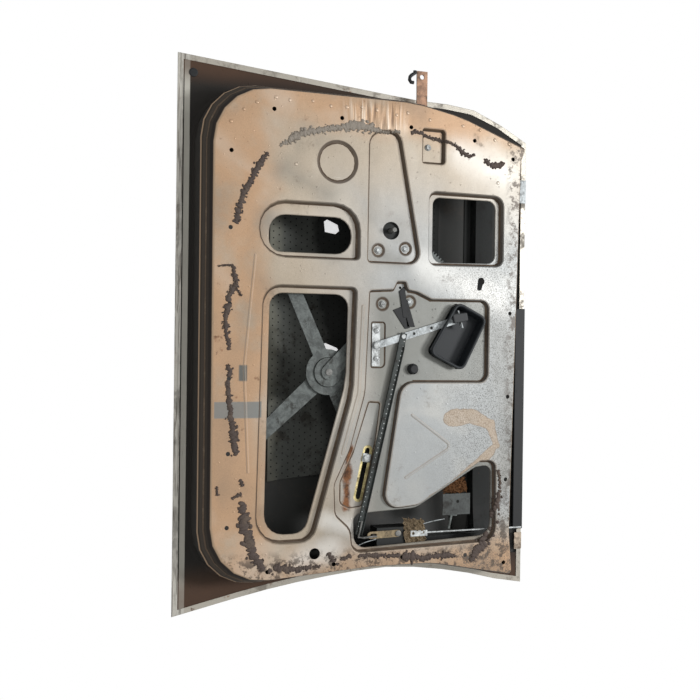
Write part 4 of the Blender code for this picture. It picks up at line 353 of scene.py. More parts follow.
# Stretches of the panel with a painted highlight and with painted shade: both ends in door X and Z, and how far
# they reach
PAINTED_HIGHLIGHTS = [((0.365, 0.455), (0.425, 0.606), 0.055), ((0.150, 0.520), (0.185, 0.612), 0.055),
            ((0.896, 0.214), (0.880, 0.275), 0.035), ((0.828, 0.262), (0.850, 0.330), 0.026)]
PAINTED_SHADE_SPOTS = [((0.500, 0.632), (0.760, 0.628), 0.060), ((0.350, 0.36), (0.358, 0.40), 0.030),
          ((0.30, 0.15), (0.34, 0.26), 0.045), ((0.205, 0.175), (0.245, 0.255), 0.040)]
# The painted highlights and the painted shade: stretches, colour and share
PAINTED_SHEEN_SPOTS = [(PAINTED_HIGHLIGHTS, (0.86, 0.85, 0.81), 0.52), (PAINTED_SHADE_SPOTS, (0.19, 0.185, 0.165), 0.55)]

STAIN_PATH = [(0.648, 0.508), (0.645, 0.546), (0.661, 0.590), (0.701, 0.600), (0.732, 0.568), (0.765, 0.531),
              (0.787, 0.502), (0.803, 0.474)]
STAIN_REACH = 0.0135

# Grey tape and a grey patch near the bottom: low and high door X, low and high door Z
TAPE = (0.6149, 0.6435, 0.056, 0.1429)
PATCH = (0.551, 0.5788, 0.0988, 0.1134)

FAN_X = (0.072, 0.122)
FAN_Z = (0.295, 0.400)

DISH_CENTRE = (0.186, 0.2758)


class PanelSpot:
    """A place on the inner panel, and what its marks share."""

    def __init__(self, graph):
        self.graph = graph
        self.vector = graph.coordinates()
        self.x, y, self.z = (graph.door_axis(self.vector, index) for index in range(3))
        self.depth = y - INNER_Y
        self.steep, self.away, _, self.bead = relief(graph)
        self.blotch = graph.noise(self.vector, 9.0, detail=7.0, roughness=0.62)
        self.patchy = graph.noise(self.vector, 26.0, detail=9.0, roughness=0.7)
        self.grime = graph.group("grime", self.vector, Patch_Scale=16.0, Amount=0.34)
        self.rust = graph.group("rust", self.vector, Scale=90.0)
        self.inside = graph.group("rim", self.vector)["Distance"].step(0.006, 0.012)
        self.crease = graph.noise(graph.stretched(self.vector, (7.0, 1.0, 95.0)), 1.0, detail=2.0)
        self.fan = self.x.window(*FAN_X, 0.012) * self.z.window(*FAN_Z, 0.02)
        self.walls = (1.0 - self.inside) * self.depth.step(0.0002, 0.0008)


def paint_tone(spot):
    """Silver in the middle, champagne round it, copper towards the rim. Gives the rim's share too."""
    settings = bpy.context.scene.door_paint
    wander = (spot.graph.noise(spot.vector, 5.0, detail=5.0) - 0.5) * 0.18
    x, z = spot.x + wander, spot.z + wander
    warm = z.step(0.42, 0.22) | x.step(0.36, 0.14) | x.step(0.82, 0.93)
    rim = z.step(0.20, 0.12) | x.step(0.16, 0.09) | x.step(0.85, 0.94)
    tone = spot.graph.mix(warm, settings.silver, settings.champagne)
    return spot.graph.mix(rim * spot.blotch.step(0.22, 0.48), tone, settings.copper), rim


def painted_sheen(spot, tone):
    """Painted sheen: broad painted light and shade, painted highlights and painted shade along stretches, and
    painted highlights and shade on the creases of the fan.
    """
    mix = spot.graph.mix
    # Broad patches of painted shade and painted light, a sheen in the paint
    cloud = spot.graph.noise(spot.vector, 6.0, detail=3.0, roughness=0.5, distortion=0.5)
    tone = mix(cloud.step(0.52, 0.30) * 0.30, tone, (0.14, 0.13, 0.11))
    tone = mix(cloud.step(0.50, 0.70) * 0.30, tone, (0.66, 0.63, 0.56))
    # Painted highlights and painted shade along the listed stretches
    for places, tint, share in PAINTED_SHEEN_SPOTS:
        near = [(spot.graph.stretch(spot.vector, start, end) + spot.blotch * 0.05).step(reach + 0.025, 0.02)
                for start, end, reach in places]
        tone = mix(reduce(or_, near) * share, tone, tint)
    # Painted highlight on the crease ridges and painted shade in their troughs; the relief of the creases is in
    # panel_height
    tone = mix(spot.fan * spot.crease.step(0.50, 0.66) * 0.75, tone, (0.80, 0.70, 0.58))
    return mix(spot.fan * spot.crease.step(0.46, 0.34) * 0.75, tone, (0.17, 0.105, 0.065))


def grime_and_darkening(spot, tone):
    """Grime, a darker floor in the mechanism recess, the crust along two edges and the stipple of the silver half.
    """
    mix, x, z, blotch = spot.graph.mix, spot.x, spot.z, spot.blotch
    tone = mix(spot.grime["Mask"] * 0.45, tone, (0.13, 0.095, 0.068))
    tone = mix(spot.grime["Specks"] * 0.75, tone, (0.03, 0.025, 0.02))
    # Darker on the floor of the mechanism recess
    sunk = spot.depth.step(0.004, 0.008) * spot.inside * x.step(0.40, 0.43) * z.step(0.33, 0.37)
    tone = mix(sunk * blotch.blend(0.45, 0.85), tone, (0.17, 0.172, 0.150))
    zone = x.step(0.872, 0.905) | z.step(0.612, 0.632) | z.step(0.545, 0.60) * x.step(0.74, 0.86)
    crust = spot.graph.noise(spot.vector, 58.0, detail=8.0, roughness=0.72).step(0.48, 0.57)
    tone = mix(zone * crust * 0.85, tone, (0.070, 0.052, 0.040))
    fine = spot.graph.noise(spot.vector, 620.0, detail=3.0, roughness=0.65)
    stipple = fine.step(0.52, 0.57) * z.step(0.42, 0.58) * x.step(0.22, 0.38) * blotch.step(0.34, 0.50)
    return mix(stipple * 0.75, tone, (0.10, 0.098, 0.090))


def rectangle(spot, sides, soft):
    """1 on a rectangle of the door, with soft edges."""
    return spot.x.window(*sides[:2], soft) * spot.z.window(*sides[2:], soft)


def stained(spot, tone):
    """The tan stain on the plateau, with its cracks and its dark outline."""
    graph, mix = spot.graph, spot.graph.mix
    nearest = reduce(and_, [graph.stretch(spot.vector, *ends) for ends in zip(STAIN_PATH, STAIN_PATH[1:])])
    ragged = nearest + (spot.blotch - 0.5) * 0.035
    stain = ragged.step(0.0145, 0.0120) * spot.depth.step(0.003, 0.001)
    edge = abs(ragged - STAIN_REACH).step(0.0018, 0.0006)
    flat = graph.stretched(spot.vector, (1.0, 0.1, 1.0))
    cracks = graph.cells(flat, 260.0, "DISTANCE_TO_EDGE").step(0.10, 0.03)
    tone = mix(stain * spot.patchy.blend(0.45, 1.0), tone, (0.42, 0.325, 0.23))
    tone = mix(stain * cracks * 0.55, tone, (0.17, 0.12, 0.08))
    return mix(edge * stain * 0.6, tone, (0.12, 0.08, 0.05))


def rusty_share(spot, rim):
    """Where the panel has rusted: in patches, most of all at the rim, and by the guide rail."""
    low, high = (corner - DOOR_ORIGIN for corner in corners_of("guide_rail"))
    near_rail = spot.graph.stretch(spot.vector, (low.x + 0.02, low.z), (high.x, low.z - 0.004))
    by_rail = (near_rail + spot.patchy * 0.03).step(0.026, 0.018) * spot.depth.step(0.004, 0.006)
    return spot.patchy.step(0.62, 0.70) * rim.blend(0.12, 0.8) | by_rail


def ring_mask(spot, centre, low, high, soft):
    """1 on a ring between two radii round a door place."""
    across, up = (spot.graph.math("POWER", value - middle, 2.0)
                  for value, middle in zip((spot.x, spot.z), centre))
    return spot.graph.math("SQRT", across + up).window(low, high, soft)


def painted_ring_shade(spot):
    """Dark rings of painted shade on the round dish and round the four bolt seats."""
    rings = [ring_mask(spot, DISH_CENTRE, 0.0342, 0.0392, 0.0010)]
    for node in BOLTS[:4]:
        middle = sum(corners_of(node), Vector()) / 2 - DOOR_ORIGIN
        rings.append(ring_mask(spot, (middle.x, middle.z), 0.0100, 0.0136, 0.0012))
    return reduce(or_, rings)


def wall_light_and_shade(spot):
    """The outer wall of the panel in painted light and shade: a painted highlight on the lip, a dark line of
    painted shade, painted light on the ledge, painted shade in the depth, a pale hem strip, and brown painted
    light on the flange at both ends.
    """
    mix, depth, x, z = spot.graph.mix, spot.depth, spot.x, spot.z
    # Painted highlight on the lip, then painted shade down the wall
    tone = mix(depth.step(0.0009, 0.0022), (0.46, 0.33, 0.22), (0.012, 0.008, 0.006))
    # Bands of painted shade, painted light on the ledge, and painted shade in the depth
    for low, high, tint in ((0.0040, 0.0062, (0.034, 0.026, 0.019)), (0.0136, 0.0144, (0.36, 0.25, 0.165)),
                            (0.0156, 0.0164, (0.010, 0.008, 0.006))):
        tone = mix(depth.step(low, high), tone, tint)
    strip = depth.step(0.060, 0.066) * z.step(0.0118, 0.0128) * z.step(0.0228, 0.0216)
    tone = mix(strip * spot.blotch.blend(0.7, 1.0), tone, (0.62, 0.60, 0.53))
    # Brown painted light on the flange towards both ends
    ends = x.step(0.90, 0.96) | x.step(0.06, 0.02)
    return mix(depth.step(0.055, 0.066) * ends * spot.blotch.blend(0.2, 1.0), tone, (0.10, 0.052, 0.030))


def panel_height(spot, flake, rusty):
    """The bumps of the panel: paint grain, rust scale, pimples, creases and slow waves."""
    pimples = spot.graph.cells(spot.vector, 72.0).step(0.13, 0.03) * spot.blotch.step(0.40, 0.52) * 3.2
    waves = spot.graph.noise(spot.vector, 22.0, detail=3.0) * 2.2
    return flake["Height"] * 0.22 + rusty * spot.rust["Height"] + pimples + spot.crease * spot.fan * 9.0 + waves


def make_panel_paint():
    """Worn metallic paint of the inner panel, with its dirt, marks and rust, and with painted sheen, painted
    highlights and painted shade.
    """
    paint, graph, shader = new_material("panel_paint")
    spot = PanelSpot(graph)
    base, rim = paint_tone(spot)
    flake = graph.group("flake", spot.vector, Base=base, Sparkle=0.45)
    tone = grime_and_darkening(spot, painted_sheen(spot, flake["Color"]))
    tape = rectangle(spot, TAPE, 0.0012)
    tone = graph.mix(tape * spot.blotch.blend(0.6, 1.0), tone, (0.215, 0.245, 0.25))
    tone = graph.mix(rectangle(spot, PATCH, 0.0018) * 0.95, tone, (0.105, 0.115, 0.11))
    rusty = rusty_share(spot, rim)
    tone = graph.mix(rusty, stained(spot, tone), spot.rust["Color"])
    # Painted highlight on the gently sloped faces of the beads and lips
    tone = graph.mix(spot.bead * spot.inside * 0.3, tone, (0.72, 0.60, 0.48))
    # Painted shade in the rings of the dish and of the bolt seats
    tone = graph.mix(painted_ring_shade(spot) * spot.blotch.blend(0.6, 1.0), tone, (0.060, 0.041, 0.029))
    # Painted shade on the press walls that face downwards, away from the key lamp
    slope_shade = spot.steep * spot.inside * spot.away.blend(0.52, 0.90) * spot.blotch.blend(0.75, 1.1)
    tone = graph.mix(slope_shade, tone, (0.060, 0.042, 0.030))
    scratches = graph.group("scratches", spot.vector, Amount=0.4)["Mask"]
    tone = graph.mix(scratches * 0.4, tone, (0.62, 0.60, 0.55))
    dull = spot.grime["Mask"] * 0.6 | rusty | spot.walls | tape | slope_shade * 0.8
    graph.fed(shader, 0, Base_Color=graph.mix(spot.walls, tone, wall_light_and_shade(spot)), Metallic=dull.blend(0.22, 0.0),
              Roughness=dull.blend(spot.blotch.blend(0.28, 0.46), 0.75), Specular_IOR_Level=0.35)
    bump(graph, shader, panel_height(spot, flake, rusty), 0.45, 0.0006)
    return paint


# The other finishes


def make_skin_paint():
    """The skin: worn silver paint at its edge and outside, dark primer inside."""
    paint, graph, shader = new_material("skin_paint")
    vector = graph.coordinates()
    y, z = graph.door_axis(vector, 1), graph.door_axis(vector, 2)
    grime = graph.group("grime", vector, Patch_Scale=18.0, Amount=0.55)
    base = colour(bpy.context.scene.door_paint.skin)
    flake = graph.group("flake", vector, Base=base, Sparkle=0.3)
    edge = y.step(0.006, 0.002)
    tone = graph.mix(graph.noise(vector, 3.2, detail=4.0) * 0.5, flake["Color"], (0.30, 0.28, 0.24))
    tone = graph.mix(grime["Mask"] * edge.blend(0.10, 0.5), tone, (0.09, 0.065, 0.045))
    spots = graph.noise(vector, 40.0, detail=9.0, roughness=0.7).step(0.60, 0.68) * y.step(0.004, 0.001)
    tone = graph.mix(spots * 0.8, tone, graph.group("rust", vector, Scale=110.0)["Color"])
    scratches = graph.group("scratches", vector, Amount=0.7)["Mask"]
    tone = graph.mix(scratches * 0.5, tone, (0.62, 0.60, 0.56))
    streak = graph.noise(graph.stretched(vector, (16.0, 16.0, 420.0)), 1.0, detail=4.0)
    hem = z.step(0.0235, 0.0205)
    tone = graph.mix(hem * 0.7, tone, graph.mix(streak, (0.40, 0.39, 0.35), (0.72, 0.70, 0.64)))
    tone = graph.mix(hem * streak.step(0.50, 0.58) * 0.68, tone, (0.085, 0.066, 0.050))
    primer = graph.mix(grime["Mask"], (0.009, 0.010, 0.008), (0.022, 0.018, 0.013))
    inner = relief(graph)[2] * y.step(0.0008, 0.0016)
    inner = (hem * y.step(0.012, 0.008)).blend(inner, 0.0)
    dull = grime["Mask"] * edge.blend(0.25, 1.0)
    graph.fed(shader, 0, Base_Color=graph.mix(inner, tone, primer), Metallic=(inner | dull).blend(0.4, 0.0),
              Roughness=inner.blend(dull.blend(0.3, 0.7), 0.6))
    bump(graph, shader, flake["Height"] * 0.3 + grime["Height"], 0.2, 0.0005)
    return paint


def make_plated(name, base, dirt, roughness, metallic, rust_amount):
    """Sheet or plated steel with dull blotches, grease and a little rust."""
    metal, graph, shader = new_material(name)
    vector = graph.coordinates()
    grime = graph.group("grime", vector, Patch_Scale=40.0, Amount=0.5)
    scratches = graph.group("scratches", vector, Amount=0.6)["Mask"]
    spangle = graph.noise(vector, 70.0, detail=6.0, roughness=0.72, distortion=0.4).step(0.34, 0.68)
    tone = graph.mix(spangle, [channel * 0.58 for channel in base], [min(1, channel * 1.5) for channel in base])
    tone = graph.mix(scratches * 0.4, tone, [min(1, channel * 1.6 + 0.1) for channel in base])
    tone = graph.mix(grime["Mask"] * 0.8, tone, dirt)
    spots = graph.noise(vector, 120.0, detail=8.0, roughness=0.7).step(0.62, 0.70) * rust_amount
    tone = graph.mix(spots, tone, graph.group("rust", vector, Scale=220.0)["Color"])
    cover = grime["Mask"] | spots
    graph.fed(shader, 0, Base_Color=tone, Metallic=cover.blend(metallic, metallic * 0.3), Specular_IOR_Level=0.35,
              Roughness=cover.blend(spangle.blend(roughness - 0.08, roughness + 0.1), 0.75))
    bump(graph, shader, grime["Height"] + spots * 0.6, 0.25, 0.0004)
    return metal


def make_soft(name, base, dust, roughness, grain, dust_amount, grain_height):
    """Rubber, plastic, felt or sealant: a grain, dust in patches and no metal."""
    made, graph, shader = new_material(name)
    vector = graph.coordinates()
    mask = graph.group("grime", vector, Patch_Scale=30.0, Amount=dust_amount)["Mask"]
    fine = graph.noise(vector, grain, detail=5.0, roughness=0.6)
    tone = graph.mix(fine, [channel * 0.75 for channel in base], [channel * 1.3 for channel in base])
    graph.fed(shader, 0, Base_Color=graph.mix(mask * 0.55, tone, dust), Specular_IOR_Level=0.3,
              Roughness=mask.blend(fine.blend(roughness - 0.06, roughness + 0.08), 0.9))
    bump(graph, shader, fine, 0.35, grain_height)
    return made


# Name, colour, colour of the dirt, roughness, metal share, rust share
PLATED = [
    ("galvanised", (0.105, 0.117, 0.113), (0.030, 0.029, 0.025), 0.5, 0.22, 0.2),
    ("zinc", (0.44, 0.46, 0.46), (0.09, 0.085, 0.075), 0.4, 0.3, 0.15),
    ("lever_zinc", (0.40, 0.43, 0.44), (0.075, 0.07, 0.06), 0.45, 0.2, 0.2),
    ("yellow_zinc", (0.66, 0.56, 0.27), (0.14, 0.10, 0.055), 0.4, 0.35, 0.25),
    ("brass_dirt", (0.27, 0.21, 0.125), (0.06, 0.045, 0.03), 0.6, 0.15, 0.5),
    ("steel", (0.15, 0.15, 0.143), (0.022, 0.020, 0.017), 0.45, 0.35, 0.2),
    # dark_steel: steel made near-black as painted shade, for parts that lie deep inside the door
    ("dark_steel", (0.010, 0.0115, 0.011), (0.010, 0.009, 0.008), 0.6, 0.1, 0.2),
    ("plate_grey", (0.060, 0.066, 0.064), (0.022, 0.020, 0.017), 0.6, 0.1, 0.2),
    ("link_steel", (0.032, 0.038, 0.036), (0.020, 0.018, 0.015), 0.45, 0.25, 0.15),
    ("copper_paint", (0.34, 0.20, 0.13), (0.05, 0.035, 0.025), 0.5, 0.3, 0.9),
    ("tan_paint", (0.46, 0.375, 0.285), (0.12, 0.085, 0.06), 0.5, 0.1, 0.5),
]

# Name, colour, colour of the dust, roughness, grain scale, dust share, grain height
SOFT = [
    ("black_plastic", (0.014, 0.017, 0.020), (0.050, 0.053, 0.056), 0.5, 700.0, 0.25, 0.0002),
    ("grip_grey", (0.036, 0.038, 0.040), (0.07, 0.07, 0.07), 0.55, 700.0, 0.3, 0.0002),
    ("rubber", (0.010, 0.011, 0.012), (0.06, 0.057, 0.05), 0.55, 420.0, 0.35, 0.0003),
    ("sealant", (0.085, 0.064, 0.055), (0.19, 0.145, 0.11), 0.7, 300.0, 0.5, 0.0008),
    ("sealant_pale", (0.30, 0.265, 0.225), (0.13, 0.10, 0.08), 0.75, 300.0, 0.5, 0.0008),
    # hollow: near-black, painted shade for the insides of holes
    ("hollow", (0.008, 0.008, 0.007), (0.02, 0.018, 0.014), 0.9, 300.0, 0.3, 0.0003),
    ("corner_darkening", (0.095, 0.067, 0.047), (0.22, 0.17, 0.12), 0.8, 300.0, 0.5, 0.0004),
    ("film", (0.90, 0.91, 0.91), (0.75, 0.73, 0.70), 0.6, 200.0, 0.2, 0.0003),
    ("paper", (0.34, 0.26, 0.165), (0.12, 0.08, 0.05), 0.85, 160.0, 0.55, 0.0005),
    ("rust_paper", (0.22, 0.105, 0.045), (0.06, 0.03, 0.016), 0.9, 160.0, 0.5, 0.0006),
]


def make_pad():
    """The sound pad: felt that shows pale where light is painted on it low in the openings, with near-black
    painted shadow further in.
    """
    pad, graph, shader = new_material("pad")
    vector = graph.coordinates()
    x, z = graph.door_axis(vector, 0), graph.door_axis(vector, 2)
    grime = graph.group("grime", vector, Patch_Scale=20.0, Amount=0.5)
    fold = graph.noise(vector, 9.0, detail=4.0, distortion=0.6)
    felt = graph.mix(grime["Mask"], (0.092, 0.098, 0.089), (0.034, 0.032, 0.026))
    # Painted light where the pad shows low in the openings
    felt = graph.mix((z + fold * 0.05).step(0.232, 0.205) * 0.6, felt, (0.34, 0.335, 0.27))
    wander = z + (fold - 0.5) * 0.10
    # Painted shadow over the rest of the pad
    far = wander.step(0.272, 0.300) | x.step(0.42, 0.40) * wander.step(0.262, 0.285)
    graph.fed(shader, 0, Base_Color=graph.mix(far * 0.93, felt, (0.010, 0.011, 0.010)),
              Roughness=fold.blend(0.8, 0.95))
    bump(graph, shader, fold * 6.0 + grime["Height"], 0.4, 0.0008)
    return pad


MATERIALS = {}
# Glow of the pale film scraps: painted light, as they are no lamp
FILM_PAINTED_GLOW = 0.6


def materials():
    """Every finish of the door, built once."""
    if MATERIALS:
        return MATERIALS
    MATERIALS.update(panel_paint=make_panel_paint(), skin_paint=make_skin_paint(), pad=make_pad())
    for name, *values in PLATED:
        MATERIALS[name] = make_plated(name, *values)
    for name, *values in SOFT:
        MATERIALS[name] = make_soft(name, *values)
    # The film glows with painted light
    film = MATERIALS["film"].node_tree.nodes["Principled BSDF"]
    film.inputs["Emission Color"].default_value = (1.0, 1.0, 1.0, 1.0)
    film.inputs["Emission Strength"].default_value = FILM_PAINTED_GLOW
    return MATERIALS


# Mesh building blocks


def finished(name, mesh, material_name, body=PANEL_BODY):
    """A piece of the door from a bmesh or a mesh, on its body."""
    piece = linked(name, plain_mesh(name, mesh) if isinstance(mesh, bmesh.types.BMesh) else mesh)
    piece.data.materials.clear()
    piece.data.materials.append(materials()[material_name])
    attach(piece, body)
    return piece


def linked(name, data):
    """A new object in the scene."""
    made = bpy.data.objects.new(name, data)
    bpy.context.scene.collection.objects.link(made)
    return made


def plain_mesh(name, shaped):
    """A mesh from a bmesh, which is freed."""
    data = bpy.data.meshes.new(name)
    shaped.to_mesh(data)
    shaped.free()
    return data


def evaluated_mesh(piece):
    """What an object's modifiers make of it, as a plain mesh."""
    bpy.context.view_layer.update()
    return bpy.data.meshes.new_from_object(piece.evaluated_get(bpy.context.evaluated_depsgraph_get()))


def rounded(piece, width, segments=2, angle=40.0):
    """Round the edges that are sharper than the angle."""
    rounding = piece.modifiers.new("edges", "BEVEL")
    rounding.width = width
    rounding.segments = segments
    rounding.limit_method = "ANGLE"
    rounding.angle_limit = math.radians(angle)


def shade_by_angle(mesh, angle):
    """Smooth shading with sharp edges where faces meet at more than the angle."""
    shaped = bmesh.new()
    shaped.from_mesh(mesh)
    for face in shaped.faces:
        face.smooth = True
    for edge in shaped.edges:
        if len(edge.link_faces) == 2:
            edge.smooth = edge.calc_face_angle(0) < angle
    shaped.to_mesh(mesh)
    shaped.free()


def mark_relief(mesh):
    """Store in a corner attribute the press walls, their turn downwards, the face's side and the beads."""
    relief = mesh.attributes.new("relief", "FLOAT_COLOR", "CORNER")
    for polygon in mesh.polygons:
        normal = polygon.normal
        slope = min(1.0, max(0.0, (0.74 - abs(normal.y)) / 0.12))
        bead = float(0.74 < abs(normal.y) < 0.985)
        flat = math.hypot(normal.x, normal.z)
        away = 0.5 - 0.5 * normal.z / flat if flat > 0.05 else 0.0
        for loop in polygon.loop_indices:
            relief.data[loop].color = (slope, away, float(normal.y < -0.3), bead)


def welded_copy(node):
    """A copy of a CAD node's mesh with its doubles merged and its flat triangles joined."""
    mesh = NODES[node].data.copy()
    shaped = bmesh.new()
    shaped.from_mesh(mesh)
    bmesh.ops.remove_doubles(shaped, verts=shaped.verts, dist=1e-6)
    bmesh.ops.dissolve_limit(shaped, angle_limit=math.radians(0.5), verts=shaped.verts, edges=shaped.edges)
    shaped.to_mesh(mesh)
    shaped.free()
    return mesh


def dress(node, material_name=None, angle=38.0, bevel=0.0, bevel_angle=50.0):
    """Stand a smooth copy of a CAD node in for it, with rounded edges if a bevel is given."""
    slot = SLOT_OF_NODE[node]
    piece = finished("dressed_" + node, welded_copy(node), material_name or slot, BODY_OF_NODE[node])
    if bevel:
        rounded(piece, bevel, angle=bevel_angle)
    shade_by_angle(piece.data, math.radians(60.0 if bevel else angle))
    if node in RELIEF_NODES:
        mark_relief(piece.data)
    piece.modifiers.new("normals", "WEIGHTED_NORMAL").keep_sharp = True
    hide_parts(node)


def circle(x, z, radius, sides):
    """Points round a circle."""
    return [(x + radius * math.cos(k * math.tau / sides), z + radius * math.sin(k * math.tau / sides))
            for k in range(sides)]


def tube(points, radius, sides=10, closed_ends=True):
    """A round tube along points as a bmesh."""
    mesh = bmesh.new()
    rings = []
    last = len(points) - 1
    along = [(points[min(i + 1, last)] - points[max(i - 1, 0)]).normalized() for i in range(last + 1)]
    side = along[0].orthogonal().normalized()
    for direction, point in zip(along, points):
        side = (side - direction * side.dot(direction)).normalized()
        other = direction.cross(side)
        rings.append([mesh.verts.new(point + side * a + other * b) for a, b in circle(0, 0, radius, sides)])
    for low, high in zip(rings, rings[1:]):
        for k in range(sides):
            mesh.faces.new((low[k], low[(k + 1) % sides], high[(k + 1) % sides], high[k]))
    if closed_ends:
        mesh.faces.new(rings[0][::-1])
        mesh.faces.new(rings[-1])
    for face in mesh.faces:
        face.smooth = True
    bmesh.ops.recalc_face_normals(mesh, faces=mesh.faces)
    return mesh


def smooth_path(points, steps):
    """A Catmull-Rom curve through the points."""
    made = []
    for index in range(len(points) - 1):
        p1, p2 = points[index:index + 2]
        p0, p3 = points[max(index - 1, 0)], points[min(index + 2, len(points) - 1)]
        for step in range(steps):
            t = step / steps
            made.append(0.5 * ((2 * p1) + (p2 - p0) * t + (2 * p0 - 5 * p1 + 4 * p2 - p3) * t * t
                               + (3 * p1 - p0 - 3 * p2 + p3) * t ** 3))
    return made + [points[-1]]


# Geometry Nodes for what repeats


def new_tree(name, sockets):
    """A geometry tree with its named inputs, and its start and end."""
    tree = bpy.data.node_groups.new(name, "GeometryNodeTree")
    tree.interface.new_socket("Geometry", in_out="INPUT", socket_type="NodeSocketGeometry")
    for socket, kind, default in sockets:
        tree.interface.new_socket(socket, in_out="INPUT", socket_type=kind).default_value = default
    tree.interface.new_socket("Geometry", in_out="OUTPUT", socket_type="NodeSocketGeometry")
    return tree, tree.nodes.new("NodeGroupInput").outputs, tree.nodes.new("NodeGroupOutput")


def stand_on_points(tree, start, end, shape, material_name):
    """Set the shape on every point, and join the copies in one material. Gives the instancing node."""
    nodes, links = tree.nodes, tree.links
    points = nodes.new("GeometryNodeMeshToPoints")
    links.new(start["Geometry"], points.inputs["Mesh"])
    instance = nodes.new("GeometryNodeInstanceOnPoints")
    links.new(points.outputs["Points"], instance.inputs["Points"])
    links.new(shape, instance.inputs["Instance"])
    realize = nodes.new("GeometryNodeRealizeInstances")
    links.new(instance.outputs["Instances"], realize.inputs["Geometry"])
    finish = nodes.new("GeometryNodeSetMaterial")
    finish.inputs["Material"].default_value = materials()[material_name]
    links.new(realize.outputs["Geometry"], finish.inputs["Geometry"])
    links.new(finish.outputs["Geometry"], end.inputs["Geometry"])
    return instance


def perforation_tree(name, material_name):
    """A tree that sets a flat round dot on every point, turned to face the inner side."""
    tree, start, end = new_tree(name, [("Radius", "NodeSocketFloat", 0.002), ("Depth", "NodeSocketFloat", 0.0005),
                                       ("Sides", "NodeSocketInt", 8)])
    dot = tree.nodes.new("GeometryNodeMeshCylinder")
    for socket, name in (("Vertices", "Sides"), ("Radius", "Radius"), ("Depth", "Depth")):
        tree.links.new(start[name], dot.inputs[socket])
    instance = stand_on_points(tree, start, end, dot.outputs["Mesh"], material_name)
    instance.inputs["Rotation"].default_value = (math.radians(90), 0, 0)
    return tree


def lump_tree(name, material_name):
    """A tree that sets a flattened ball on every point, as wide and long as the point's attributes say."""
    tree, start, end = new_tree(name, [("Height", "NodeSocketFloat", 0.002), ("Spread", "NodeSocketFloat", 0.4),
                                       ("Seed", "NodeSocketInt", SEED)])
    nodes, links = tree.nodes, tree.links
    ball = nodes.new("GeometryNodeMeshUVSphere")
    for socket, value in (("Segments", 8), ("Rings", 5), ("Radius", 1.0)):
        ball.inputs[socket].default_value = value
    smooth = nodes.new("GeometryNodeSetShadeSmooth")
    links.new(ball.outputs["Mesh"], smooth.inputs["Geometry"])
    instance = stand_on_points(tree, start, end, smooth.outputs["Geometry"], material_name)
    size = nodes.new("ShaderNodeCombineXYZ")
    for axis, value in enumerate((point_attribute(tree, "wide"), start["Height"], point_attribute(tree, "long"))):
        varied = tree_math(tree, "MULTIPLY", value, random_around(tree, start, axis))
        links.new(varied, size.inputs[axis])
    links.new(size.outputs[0], instance.inputs["Scale"])
    turn = nodes.new("ShaderNodeCombineXYZ")
    links.new(point_attribute(tree, "turn"), turn.inputs[1])
    links.new(turn.outputs[0], instance.inputs["Rotation"])
    return tree


def point_attribute(tree, name):
    """A number that each point holds."""
    made = tree.nodes.new("GeometryNodeInputNamedAttribute")
    made.data_type = "FLOAT"
    made.inputs["Name"].default_value = name
    return made.outputs[0]


def tree_math(tree, operation, first, second):
    """A math node on two outputs or plain numbers."""
    made = tree.nodes.new("ShaderNodeMath")
    made.operation = operation
    for socket, value in zip(made.inputs, (first, second)):
        if isinstance(value, bpy.types.NodeSocket):
            tree.links.new(value, socket)
        else:
            socket.default_value = value
    return made.outputs[0]


def random_around(tree, start, seed_offset):
    """A random number round 1, apart by the spread."""
    made = tree.nodes.new("FunctionNodeRandomValue")
    made.data_type = "FLOAT"
    for socket, operation in ((2, "SUBTRACT"), (3, "ADD")):
        tree.links.new(tree_math(tree, operation, 1.0, start["Spread"]), made.inputs[socket])
    tree.links.new(tree_math(tree, "ADD", start["Seed"], seed_offset), made.inputs["Seed"])
    return made.outputs[1]


def scatter(name, points, tree, slot, body=PANEL_BODY, attributes=None, **values):
    """Run a repeat tree on the points and keep its result as a plain mesh piece."""
    guide_mesh = bpy.data.meshes.new(name + "_points")
    guide_mesh.from_pydata([tuple(point) for point in points], [], [])
    for attribute, numbers in (attributes or {}).items():
        stored = guide_mesh.attributes.new(attribute, "FLOAT", "POINT")
        stored.data.foreach_set("value", numbers)
    guide = linked(name + "_points", guide_mesh)
    change = guide.modifiers.new("repeat", "NODES")
    change.node_group = tree
    for item in tree.interface.items_tree:
        if item.item_type == "SOCKET" and item.in_out == "INPUT" and item.name in values:
            change[item.identifier] = values[item.name]
    mesh = evaluated_mesh(guide)
    bpy.data.objects.remove(guide)
    piece = linked(name, mesh)
    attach(piece, body)


# Pieces


SIMPLE_NODES = {
    "belt_bracket": 0.0004, "belt_rail": 0.0, "rear_belt_bracket": 0.0004, "check_strap": 0.0008,
    "claw_pin": 0.0003, "clutch_drum": 0.0006, "crank_pin": 0.0003, "cross_arm": 0.0006, "crossing_disc": 0.0006,
    "crossing_rivet": 0.0003, "front_run_strap": 0.0005, "glass_run_front": 0.0, "glass_run_rear": 0.0,
    "guide_rail": 0.0005, "guide_slider": 0.0006, "guide_stud": 0.0003, "latch_case": 0.0015, "latch_claw": 0.0008,
    "latch_crank": 0.0005, "latch_rod": 0.0, "lever_bracket": 0.0006, "lever_rivet": 0.0003, "lift_arm": 0.0003,
    "lift_arm_tail": 0.0006, "lift_pivot_stud": 0.0004, "lift_roller": 0.0005, "lift_roller_stud": 0.0003,
    "cross_roller": 0.0005, "cross_roller_stud": 0.0003, "link_bar": 0.0003, "link_rivet": 0.0003,
    "rear_run_bracket": 0.0004, "regulator_base": 0.0005, "release_lever": 0.0005, "rod_clip": 0.001,
    "sill_rod": 0.0006, "winder_spindle": 0.0002, "corner_plug": 0.0008, "check_hook": 0.0,
    "belt_weatherstrip": 0.0015, "handle_cup": 0.0008, "rubber_strap": 0.0005, "sound_pad": 0.0012,
}

